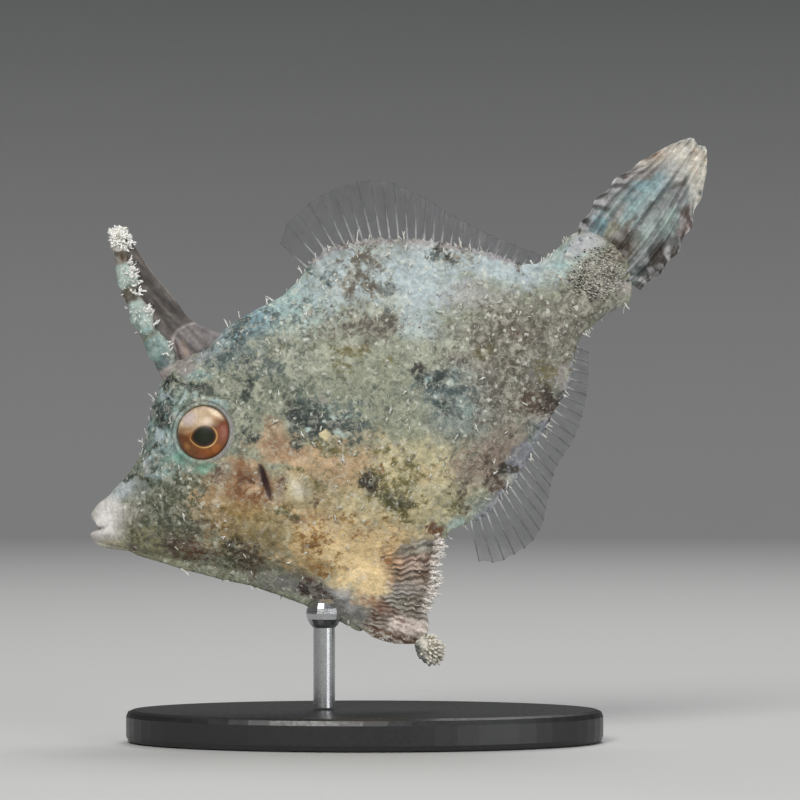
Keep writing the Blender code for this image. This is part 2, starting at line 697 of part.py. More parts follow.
def add_fringe(flap, helpers):
    """The bristly fringe along the flap's free rear edge."""
    edge_path, draw = path_through(FLAP_EDGE), random.Random(5)
    length, radius = FRINGE_LOCK
    locks = []
    for i in range(FRINGE_LOCKS):
        share = 0.1 + 0.42 * i / (FRINGE_LOCKS - 1)
        x, z = edge_path(share)
        before, after = edge_path(share - 0.02), edge_path(share + 0.02)
        run = Vector((after[0] - before[0], 0, after[1] - before[1])).normalized()
        outward = Vector((-run.z, 0, run.x))
        direction = outward + Vector((0, draw.uniform(-0.3, 0.3), draw.uniform(-0.15, 0.1)))
        size = length * draw.uniform(0.75, 1.1) * (1 - 0.4 * share)
        locks.append(spike(f"lock_{i}", (x, 0, z), direction, size, radius, helpers, (0, 0, -0.15)))
    combine(flap, locks, "UNION", "MANIFOLD")


def tuft_place():
    """Where the knob on the end of the pelvic bone sits, and how it leans."""
    return Matrix.Translation((TUFT_CENTRE[0], 0, TUFT_CENTRE[1])) @ Matrix.Rotation(math.radians(-12), 4, "Y")


def add_tuft_bristles(tuft, helpers):
    """The spiny scales all round the knob, apart from the side that meets the flap."""
    draw = random.Random(9)
    length, radius = TUFT_BRISTLE
    bristles = []
    for i in range(TUFT_BRISTLES):
        around = i * 2.4
        up = 0.5 - 1.45 * (i + 0.5) / TUFT_BRISTLES
        level = math.sqrt(1 - up * up)
        normal = Vector((level * math.cos(around), level * math.sin(around), up))
        if normal.x - normal.z < -0.15:
            continue
        root = tuft_place() @ Vector([radius * 0.96 * side for radius, side in zip(TUFT_RADII, normal)])
        outward = normal + Vector((0.35, 0, -0.2))
        size = length * draw.uniform(0.8, 1.2)
        bristles.append(spike(f"bristle_{i}", root, outward, size, radius, helpers))
    combine(tuft, bristles, "UNION")


def build_stand(core, pose, stand, helpers):
    """A flat oval base and one short rod, whose cup the keel of the belly sits in."""
    bpy.ops.mesh.primitive_cylinder_add(vertices=64, radius=0.5, depth=1)
    base = bpy.context.object
    base.name = "stand_base"
    base.data.transform(Matrix.Diagonal((BASE_LENGTH * UNIT, BASE_WIDTH * UNIT, BASE_HEIGHT * UNIT, 1)))
    base.location = (BASE_X * UNIT, 0, BASE_HEIGHT / 2 * UNIT)
    bevel = base.modifiers.new("rounded_edge", "BEVEL")
    bevel.width = BASE_BEVEL * UNIT
    bevel.segments = 2
    bevel.limit_method = "ANGLE"
    move_to(base, stand)

    foot = BASE_HEIGHT + GAP
    bpy.ops.mesh.primitive_cylinder_add(vertices=24, radius=ROD_RADIUS * UNIT, depth=(ROD_TOP - foot) * UNIT)
    rod = bpy.context.object
    rod.name = "stand_rod"
    rod.data.transform(Matrix.Translation((ROD_X * UNIT, 0, (ROD_TOP + foot) / 2 * UNIT)))
    move_to(rod, stand)
    cup = ellipsoid("cup", (CUP_RADIUS,) * 3, Matrix.Translation((ROD_X, 0, ROD_TOP)), helpers, 16, 10)
    combine(rod, [cup], "UNION")
    posed_core = copy_of(core, "posed_core", helpers, grown=GAP)
    posed_core.data.transform(pose.matrix_world)
    combine(rod, [posed_core], "DIFFERENCE")
    return [base, rod]


def move_to(obj, collection):
    for owner in list(obj.users_collection):
        owner.objects.unlink(obj)
    collection.objects.link(obj)


def finish(objects, colour, roughness, metallic=0.0):
    """Gives each object a plain material of its own and smooth shading."""
    for obj in objects:
        material = bpy.data.materials.new(obj.name)
        material.use_nodes = True
        shader = material.node_tree.nodes["Principled BSDF"]
        shader.inputs["Base Color"].default_value = (*colour, 1)
        shader.inputs["Roughness"].default_value = roughness
        shader.inputs["Metallic"].default_value = metallic
        obj.data.materials.clear()
        obj.data.materials.append(material)
        obj.data.shade_smooth()
        obj.data.set_sharp_from_angle(angle=math.radians(40))


def build():
    clear_scene()
    fish = collection_named("filefish")
    stand = collection_named("stand")
    helpers = collection_named("helpers")
    pose = bpy.data.objects.new("filefish_pose", None)
    fish.objects.link(pose)
    pose.location = (SNOUT_X * UNIT, 0, SNOUT_Z * UNIT)
    pose.rotation_euler = (0, -PITCH, 0)
    bpy.context.view_layer.update()

    core = body_core(helpers)
    jaws = build_jaws(core, fish, helpers)
    head = build_head(core, fish, helpers)
    eyes = build_eyes(fish)
    torso = copy_of(core, "torso", fish)
    keep_behind(torso, GILL_CUT)
    keep_before(torso, TAIL_CUT)
    soft = (core, fish, helpers)
    tail_stem = build_tail_stem(*soft)
    dorsal = build_soft_fin(
        "dorsal_fin", back, -1, DORSAL_START, DORSAL_END, DORSAL_MARGIN, DORSAL_RAYS, 0.85, *soft
    )
    anal = build_soft_fin(
        "anal_fin", belly_edge, 1, ANAL_START, ANAL_END, ANAL_MARGIN, ANAL_RAYS, 0.95, *soft
    )
    tail_fin = build_tail_fin(*soft)
    pectorals = [build_pectoral_fin("pectoral_fin_right", 1, *soft), build_pectoral_fin("pectoral_fin_left", -1, *soft)]
    spine = build_spine(*soft)
    web = build_web(spine, *soft)
    add_barbs(spine, helpers)
    tuft = ellipsoid("pelvic_tuft", TUFT_RADII, tuft_place(), fish, 14, 10)
    flap = build_flap(tuft, *soft)
    add_fringe(flap, helpers)
    add_tuft_bristles(tuft, helpers)
    base, rod = build_stand(core, pose, stand, helpers)

    finish(jaws, (0.62, 0.63, 0.62), 0.55)
    finish([head, torso, tail_stem], (0.42, 0.44, 0.38), 0.6)
    finish(eyes, (0.45, 0.24, 0.09), 0.1)
    finish([dorsal, anal, web] + pectorals, (0.55, 0.56, 0.56), 0.4)
    finish([tail_fin, spine], (0.45, 0.52, 0.5), 0.55)
    finish([flap, tuft], (0.5, 0.42, 0.36), 0.6)
    finish([base], (0.03, 0.03, 0.032), 0.35)
    finish([rod], (0.6, 0.6, 0.6), 0.3, 1.0)

    for obj in fish.objects:
        if obj is not pose:
            obj.parent = pose
    bpy.data.objects.remove(core, do_unlink=True)
    bpy.data.collections.remove(helpers)


build()
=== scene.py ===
"""The looks of an aiptasia-eating filefish, Acreichthys tomentosus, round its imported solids.

Lengths are millimetres in the fish's own frame, as in the part's source: x runs from the snout to the tail,
z up its back and y out of its right side. posed() tips them head down over the stand, in metres.
"""

import itertools
import math
import random
from collections import namedtuple

import bmesh
import bpy
import numpy as np
from mathutils import Matrix, Vector


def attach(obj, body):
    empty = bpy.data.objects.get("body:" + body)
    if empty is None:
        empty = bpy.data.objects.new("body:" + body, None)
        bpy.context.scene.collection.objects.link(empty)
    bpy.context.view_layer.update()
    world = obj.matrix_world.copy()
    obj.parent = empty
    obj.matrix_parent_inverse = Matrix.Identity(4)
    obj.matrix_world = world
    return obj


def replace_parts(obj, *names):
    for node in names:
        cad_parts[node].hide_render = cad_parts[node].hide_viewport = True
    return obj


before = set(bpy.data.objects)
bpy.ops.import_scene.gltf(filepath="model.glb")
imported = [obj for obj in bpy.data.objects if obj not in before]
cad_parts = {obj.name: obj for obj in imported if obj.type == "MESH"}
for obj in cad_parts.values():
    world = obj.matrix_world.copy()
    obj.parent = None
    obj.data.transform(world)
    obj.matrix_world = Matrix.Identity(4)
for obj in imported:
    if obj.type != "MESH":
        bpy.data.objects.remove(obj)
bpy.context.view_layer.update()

# Driving sizes, the part's own
MM = 0.001
PITCH = math.radians(26.8)
SNOUT_X, SNOUT_Z = -42.2, 30.0

# The side view of the body, as (x, z) along each outline
BACK = (
    (-0.9, -1.4), (-0.5, -0.4), (0.2, 0.8), (0.9, 1.8), (2.2, 2.5), (5, 3.3), (8, 4.3), (10, 5.6),
    (12, 7.7), (14, 10.1), (16, 12.1), (18, 13.8), (20, 15.1), (24, 14.9), (28, 16.0), (32, 16.6),
    (37, 16.5), (40, 17.2), (43.5, 19.0), (46, 19.4), (50, 18.6), (54, 17.0), (58, 14.9), (62, 12.0),
    (66, 8.8), (69, 5.8), (71.5, 4.6), (75, 5.2), (77.5, 6.0), (79, 5.9), (80.5, 4.7), (81.6, 2.7),
    (82.3, 0.3),
)
BELLY_EDGE = (
    (-0.9, -2.2), (-0.6, -2.8), (0.2, -3.7), (2, -5.0), (4, -7.0), (8, -10.9), (12, -14.4), (16, -17.8),
    (20, -21.8), (24, -26.7), (26.6, -29.9), (28.5, -27.9), (30.4, -25.2), (33, -22.8), (36.5, -22.0),
    (39.5, -22.9), (42.2, -23.9), (44, -23.0), (48, -23.3), (52, -22.2), (58, -19.0), (64, -14.9),
    (68, -12.0), (70.2, -8.9), (73, -6.9), (77, -6.2), (80, -6.0), (81.4, -4.4), (82.3, -1.7),
)
BELLY_MUSCLE = (
    (-0.9, -2.1), (2, -4.6), (8, -9.6), (14, -14.0), (20, -18.3), (26, -21.6), (33, -22.4), (42, -22.6),
    (50, -21.6), (58, -17.8), (66, -12.4), (70, -8.4), (78, -5.8), (82.3, -1.6),
)
WIDEST = (
    (-0.9, -1.8), (1, -1.6), (6, -2.8), (12, -2.6), (20, -1.0), (28, -3.0), (40, -3.4), (52, -2.4),
    (62, -2.0), (70, -1.6), (79, -0.2), (82.3, -0.7),
)
HALF_WIDTH = (
    (-0.9, 0.25), (-0.4, 0.85), (0.6, 1.3), (1.3, 1.35), (2.2, 1.1), (3.4, 1.35), (7, 2.3), (12, 3.9),
    (17, 5.2), (22, 5.9), (28, 6.2), (36, 6.1), (44, 5.2), (54, 3.9), (64, 2.5), (70, 1.7), (75, 1.3),
    (80, 0.9), (82.3, 0.3),
)
EDGE_THICKNESS = (
    (-0.9, 0.35), (0, 0.55), (3, 0.6), (8, 0.8), (20, 1.1), (30, 1.0), (45, 0.8), (66, 0.75), (74, 0.9),
    (80, 0.7), (82.3, 0.5),
)

# How fine the skin's net of points is, and how far it lies inside the solids
SKIN_STATIONS = ((-0.9, 6.0, 0.075), (6.0, 31.0, 0.155), (31.0, 82.4, 0.215))
SKIN_COLUMNS = 372
SKIN_SUNK = 0.08

# The head's features
MOUTH_FRONT, MOUTH_CORNER = (0.45, -0.7), (2.3, -1.5)
UPPER_LIP_FRONT, LOWER_LIP_TOP = 0.62, -0.8
EYE_PLACE = (19.6, 4.5)
EYE_RADIUS, EYE_DEPTH, EYE_SUNK = 3.75, 1.9, 0.75
ORBIT_INNER, ORBIT_RING, ORBIT_MOAT, ORBIT_OUTER = 3.3, 4.15, 5.0, 5.9
ORBIT_RINGS, ORBIT_SPOKES = 34, 168
EYE_RINGS, EYE_SIDES = 120, 160
PUPIL = ((0.13, -0.17), (0.39, 0.34), 5)
LIP_FOLD = ((1.6, -1.2), (4.2, 4.6), 0)
NOSTRILS = ((15.6, 7.4), (14.7, 6.5))
GILL_TOP, GILL_FOOT, GILL_HALF = (24.7, -2.7), (23.7, -8.1), 0.46
PECTORAL_PLACE, PECTORAL_LENGTH, PECTORAL_ROOT = (27.8, -8.8), 7.2, 1.3
PECTORAL_RAYS, PECTORAL_SPREAD, PECTORAL_OUT = 10, math.radians(38), math.radians(34)
PECTORAL_DISC = ((PECTORAL_PLACE[0] - 0.2, PECTORAL_PLACE[1]), (2.3, 2.1), 0)
HEAD_CREASES = (
    ((18.2, 13.7), (21.6, 10.6), 0.28, 0.28), ((6.3, 3.7), (8.6, 3.0), 0.26, 0.4),
    ((8.4, 3.1), (9.3, 1.5), 0.28, 0.4), ((12.6, 8.0), (9.6, 5.2), 0.2, 0.24),
)

# Patches of colour on the eye, low and on its pale upper part: colour, middle, half-sizes, tilt and strength.
# Those on the upper part also hold a painted reflection with its bright spot at the upper front, a painted
# highlight band at the upper rear and painted shade along the top rear edge.
EYE_PATCHES = (
    ((142, 80, 58), (0.85, 0.0), (0.35, 0.75), 0, 0.85),
    ((104, 58, 30), (0.7, 0.36), (0.2, 0.26), 30, 0.7),
    ((112, 66, 36), (-0.75, -0.15), (0.2, 0.4), 0, 0.7),
    ((166, 116, 62), (-0.55, -0.5), (0.2, 0.14), -50, 0.7),
    ((140, 80, 34), (0.15, -0.75), (0.5, 0.22), 0, 0.8),
    ((148, 88, 66), (-0.15, -0.92), (0.4, 0.14), 10, 0.7),
    ((172, 104, 48), (0.55, -0.6), (0.25, 0.2), 30, 0.7),
    ((178, 130, 84), (-0.45, 0.0), (0.3, 0.18), 0, 0.6),
)
LID_PATCHES_AND_PAINTED_LIGHT = (
    # painted reflection at the upper front, with its bright spot on the next line
    ((214, 198, 194), (-0.5, 0.52), (0.42, 0.34), 0, 0.9),
    ((240, 216, 182), (-0.78, 0.34), (0.12, 0.1), 0, 0.9),
    # painted highlight band at the upper rear
    ((246, 224, 190), (0.5, 0.68), (0.42, 0.11), -36, 0.95),
    ((204, 178, 144), (0.1, 0.46), (0.3, 0.16), 0, 0.7),
    ((176, 132, 92), (0.55, 0.42), (0.22, 0.16), -30, 0.8),
    ((212, 180, 164), (-0.05, 0.86), (0.3, 0.12), 0, 0.6),
    # painted shade along the top rear edge
    ((150, 138, 122), (0.35, 0.95), (0.35, 0.12), -20, 0.8),
    ((170, 130, 90), (-0.6, 0.12), (0.4, 0.1), 0, 0.6),
)
LID_LINE = ((-1, 0.12), (-0.4, 0.06), (0, 0.1), (0.5, 0.3), (0.85, 0.56))

# The fins: how deep their rays start in the body, points from ray to ray, and the margins they reach
FIN_SUNK, FIN_STEP = 1.6, 8
DORSAL_MARGIN = (
    (40.7, 23.2), (43.3, 25.4), (49.3, 26.5), (53.5, 26.1), (57, 24.7), (60.5, 21.2), (64, 15.7),
    (68, 10.3), (72.4, 5.3),
)
ANAL_MARGIN = (
    (45.4, -28.6), (48.3, -30.0), (52, -29.8), (54.9, -28.5), (57.3, -25.9), (60.6, -22.0), (64.6, -19.5),
    (67, -17.4), (70, -13.4), (72, -9.6),
)
TAIL_FIN_ROOT, TAIL_FIN_TILT = (79.7, 0.0), math.radians(26.1)
TAIL_FIN_RAYS, TAIL_FIN_LENGTH, TAIL_FIN_SHORTER, TAIL_FIN_SEED = 12, 21.6, 5.2, 7
TAIL_FIN_ROWS, TAIL_FIN_STEP = 180, 16
TAIL_FIN_HEIGHT = ((0, 5.6), (2.4, 6.3), (6, 6.6), (11, 6.0), (13.5, 5.1), (16.4, 4.3), (19, 3.8), (21.6, 3.2))

# The tail fin's patches: colour, middle and half-sizes as (share out, share up from the middle), and strength
TAIL_FIN_PATCHES = (
    ("turquoise", (0.2, 0.72), (0.12, 0.3), 0.95), ("turquoise", (0.56, 0.36), (0.22, 0.34), 0.85),
    ("pale aqua", (0.4, 0.2), (0.2, 0.24), 0.7), ("sea", (0.47, -0.5), (0.14, 0.26), 0.9),
    ("sea", (0.32, -0.22), (0.14, 0.16), 0.8), ("sea", (0.36, 0.62), (0.1, 0.14), 0.6),
    ("olive wash", (0.2, 0.36), (0.08, 0.16), 0.6), ("brown", (0.15, -0.05), (0.15, 0.34), 1.0),
    ("brown", (0.3, 0.12), (0.12, 0.07), 0.7), ("slate", (0.08, -0.78), (0.12, 0.25), 0.9),
    ("slate", (0.22, -0.8), (0.26, 0.3), 0.8), ("umber", (0.25, -0.72), (0.17, 0.26), 1.0),
    ("umber", (0.42, -0.98), (0.18, 0.22), 0.95), ("lilac", (0.17, -0.5), (0.05, 0.12), 0.7),
    ("lilac", (0.36, -0.84), (0.05, 0.1), 0.6), ("slate", (0.5, -0.02), (0.24, 0.06), 0.6),
    ("dark rust", (0.64, -0.86), (0.13, 0.2), 0.9), ("stone", (0.32, 0.46), (0.1, 0.1), 0.7),
    ("pink grey", (0.72, 0.7), (0.16, 0.3), 0.9), ("dark rust", (0.62, 0.92), (0.03, 0.16), 0.8),
    ("brown", (0.72, -0.3), (0.06, 0.2), 0.7), ("lilac", (0.66, -0.45), (0.06, 0.2), 0.8),
    ("white", (0.76, -0.1), (0.05, 0.14), 0.8), ("mist", (0.66, 0.1), (0.05, 0.16), 0.7),
    ("lip", (0.84, 0.3), (0.14, 0.7), 0.7), ("white", (0.78, -0.6), (0.06, 0.3), 0.7),
    ("umber", (0.16, -0.05), (0.1, 0.2), 0.6), ("umber", (0.2, -0.92), (0.2, 0.22), 0.8),
    ("white", (0.84, -0.35), (0.08, 0.25), 0.9), ("white", (0.8, 0.75), (0.08, 0.25), 0.8),
)

# The first dorsal spine as (x, z, half-width fore and aft), the web behind it, the belly flap and its tuft
SPINE_PATH = (
    (19.3, 12.4, 1.5), (19.2, 15.0, 1.55), (19.1, 18.0, 1.5), (18.9, 21.5, 1.45), (19.1, 25.0, 1.4),
    (19.6, 28.5, 1.25), (20.3, 31.6, 1.05), (21.1, 34.0, 0.75), (21.6, 35.2, 0.35),
)
SPINE_FLATNESS, SPINE_RINGS, SPINE_SIDES = 0.8, 220, 48
SPINE_SWELLINGS = ((0.22, 0.25), (0.35, -0.28), (0.46, 0.2), (0.59, -0.2), (0.7, 0.24), (0.81, -0.1))
SPINE_BANDS = (
    (0.0, "pink grey"), (0.1, "pink grey"), (0.12, "slate"), (0.16, "slate"), (0.19, "aqua"), (0.3, "aqua"),
    (0.33, "grey green"), (0.36, "aqua"), (0.4, "sea"), (0.52, "sea"), (0.55, "grey brown"),
    (0.63, "grey brown"), (0.655, "sea"), (0.76, "sea"), (0.785, "stone"), (0.86, "grey brown"),
    (0.88, "lip"), (0.91, "white"), (1.0, "white"),
)
SPINE_CLUMPS = (
    (0.73, 0.045, 80), (0.66, 0.035, 34), (0.585, 0.02, 22), (0.455, 0.028, 44), (0.36, 0.01, 8),
    (0.22, 0.035, 20),
)
SPINE_TIP, SPINE_LOBE = (0.8, 0.6, 1.25), (0.7, 0.5, 0.8)
SECOND_SPINE = ((21.9, 17.9), (21.3, 14.6))
WEB_ROWS, WEB_COLUMNS = 120, 60
WEB_SAC = ((24.8, 16.1), (3.9, 2.5), -24)
WEB_EDGE = ((22.5, 32.2), (23.1, 27.7), (23.9, 24.6), (24.4, 22.4), (24.6, 20.9), (25.9, 18.7), (28.9, 15.8))
FLAP_ROOT = ((34.8, -20.2), (32.0, -21.4), (29.8, -23.8), (28.0, -26.2), (26.2, -28.4))
FLAP_EDGE = (
    (42.3, -22.6), (41.9, -24.0), (40.3, -25.9), (38.8, -28.5), (37.3, -30.2), (35.8, -31.6), (35.3, -33.2),
    (33.4, -34.9), (30.2, -33.6), (27.2, -30.9),
)
FLAP_ROWS, FLAP_COLUMNS, FLAP_FOLD, FLAP_CLUMPS = 110, 260, 0.97, 10
TUFT_CENTRE, TUFT_RADII, TUFT_TILT = (33.7, -36.3), (1.6, 1.1, 2.0), math.radians(12)
TUFT_RINGS, TUFT_SIDES, TUFT_STUBS = 80, 90, 120
STEM_PATCH, STEM_OVAL, STEM_BRISTLES = ((73.4, -4.6), (81.8, 4.2)), ((77.9, -0.4), (4.3, 4.2), 0), 900
GOLDEN_TURN = 2.39996

# On the flap, as (level, lift): the edge of its plain inner part, as (lift, level), and its patches
FLAP_INNER = ((-14.0, 37.2), (-11.0, 38.4), (-9.2, 40.8), (-4.0, 41.4))
FLAP_CRUST, FLAP_LILAC = ((43.4, -13.9), (3.2, 1.5), -12), ((42.9, -9.0), (2.6, 1.0), 0)
FLAP_UPPER, FLAP_DUSK = ((44.6, -3.0), (3.6, 1.3), 8), ((46.2, -2.6), (1.7, 0.6), 12)
FLAP_BROWNS = (((40.2, -11.4), (2.5, 1.2), -25), ((42.6, -13.2), (1.2, 0.5), -20))

# The camera, the stage and the lights in metres, each light as (name, place, size, watts, colour)
PICTURE_SPAN, CAMERA_DISTANCE, SENSOR = 0.11064, 0.6, 36.0
AIM = Vector((0.00028, 0.0, 0.0473))
STAGE_FLOOR, STAGE_BEND, STAGE_TOP = 0.9, 0.45, 1.5
LIGHTS = (
    ("key", (-0.24, -0.72, 0.6), 0.36, 5.8, (1.0, 0.985, 0.96)),
    ("fill", (0.6, -0.6, 0.22), 0.5, 2.8, (0.96, 0.98, 1.0)),
    ("top", (0.1, 0.35, 0.75), 0.5, 3.6, (1, 1, 1)),
)

# Colours by name, in sRGB, and how strong the fine dark specks and the white dots are on skin of that colour
COLOURS = {
    "white": (228, 226, 216, 0.0, 0.1), "cream": (200, 188, 148, 0.1, 0.5),
    "sand": (222, 192, 142, 0.05, 0.5), "ochre": (172, 142, 88, 0.3, 0.2),
    "tan": (174, 148, 110, 0.25, 0.6), "peach": (188, 158, 124, 0.15, 0.3),
    "sage": (139, 143, 122, 0.6, 0.5), "pale sage": (157, 161, 143, 0.5, 0.6),
    "grey green": (110, 115, 98, 0.6, 0.5), "stone": (134, 130, 121, 0.55, 0.7),
    "mauve": (142, 124, 112, 0.3, 0.3), "pink grey": (154, 146, 142, 0.2, 0.3),
    "lilac": (172, 172, 176, 0.05, 0.3), "lip": (206, 202, 198, 0.0, 0.0),
    "lilac blue": (112, 116, 126, 0.1, 0.4), "keel grey": (102, 101, 97, 0.05, 0.3),
    "blue grey": (128, 137, 134, 0.35, 0.5), "aqua": (128, 152, 148, 0.6, 0.8),
    "jade": (118, 164, 144, 0.1, 0.1), "sky": (122, 154, 166, 0.4, 0.6),
    "mist": (174, 188, 192, 0.25, 0.6), "pale aqua": (160, 184, 182, 0.35, 0.8),
    "olive": (104, 96, 54, 0.3, 0.1), "dark olive": (78, 76, 54, 0.4, 0.1),
    "olive wash": (138, 130, 92, 0.3, 0.2), "brown": (84, 68, 56, 0.2, 0.1),
    "umber": (46, 38, 32, 0.1, 0.1), "moss": (74, 84, 70, 0.3, 0.1), "slate": (82, 96, 96, 0.2, 0.2),
    "black green": (36, 46, 42, 0.1, 0.2), "grey brown": (90, 84, 73, 0.2, 0.2),
    "rust": (124, 84, 52, 0.1, 0.1), "dark rust": (80, 52, 42, 0.1, 0.1), "clay": (138, 102, 72, 0.2, 0.4),
    "amber": (146, 108, 60, 0.1, 0.1), "straw": (240, 212, 160, 0.02, 0.45),
    "sea": (164, 182, 176, 0.3, 0.5), "turquoise": (136, 170, 176, 0.2, 0.4),
}

# The dark colours that lie on the others as broken clusters of flecks
STAINS = (
    "amber", "olive", "dark olive", "brown", "umber", "moss", "slate", "black green", "grey brown", "rust",
    "dark rust",
)

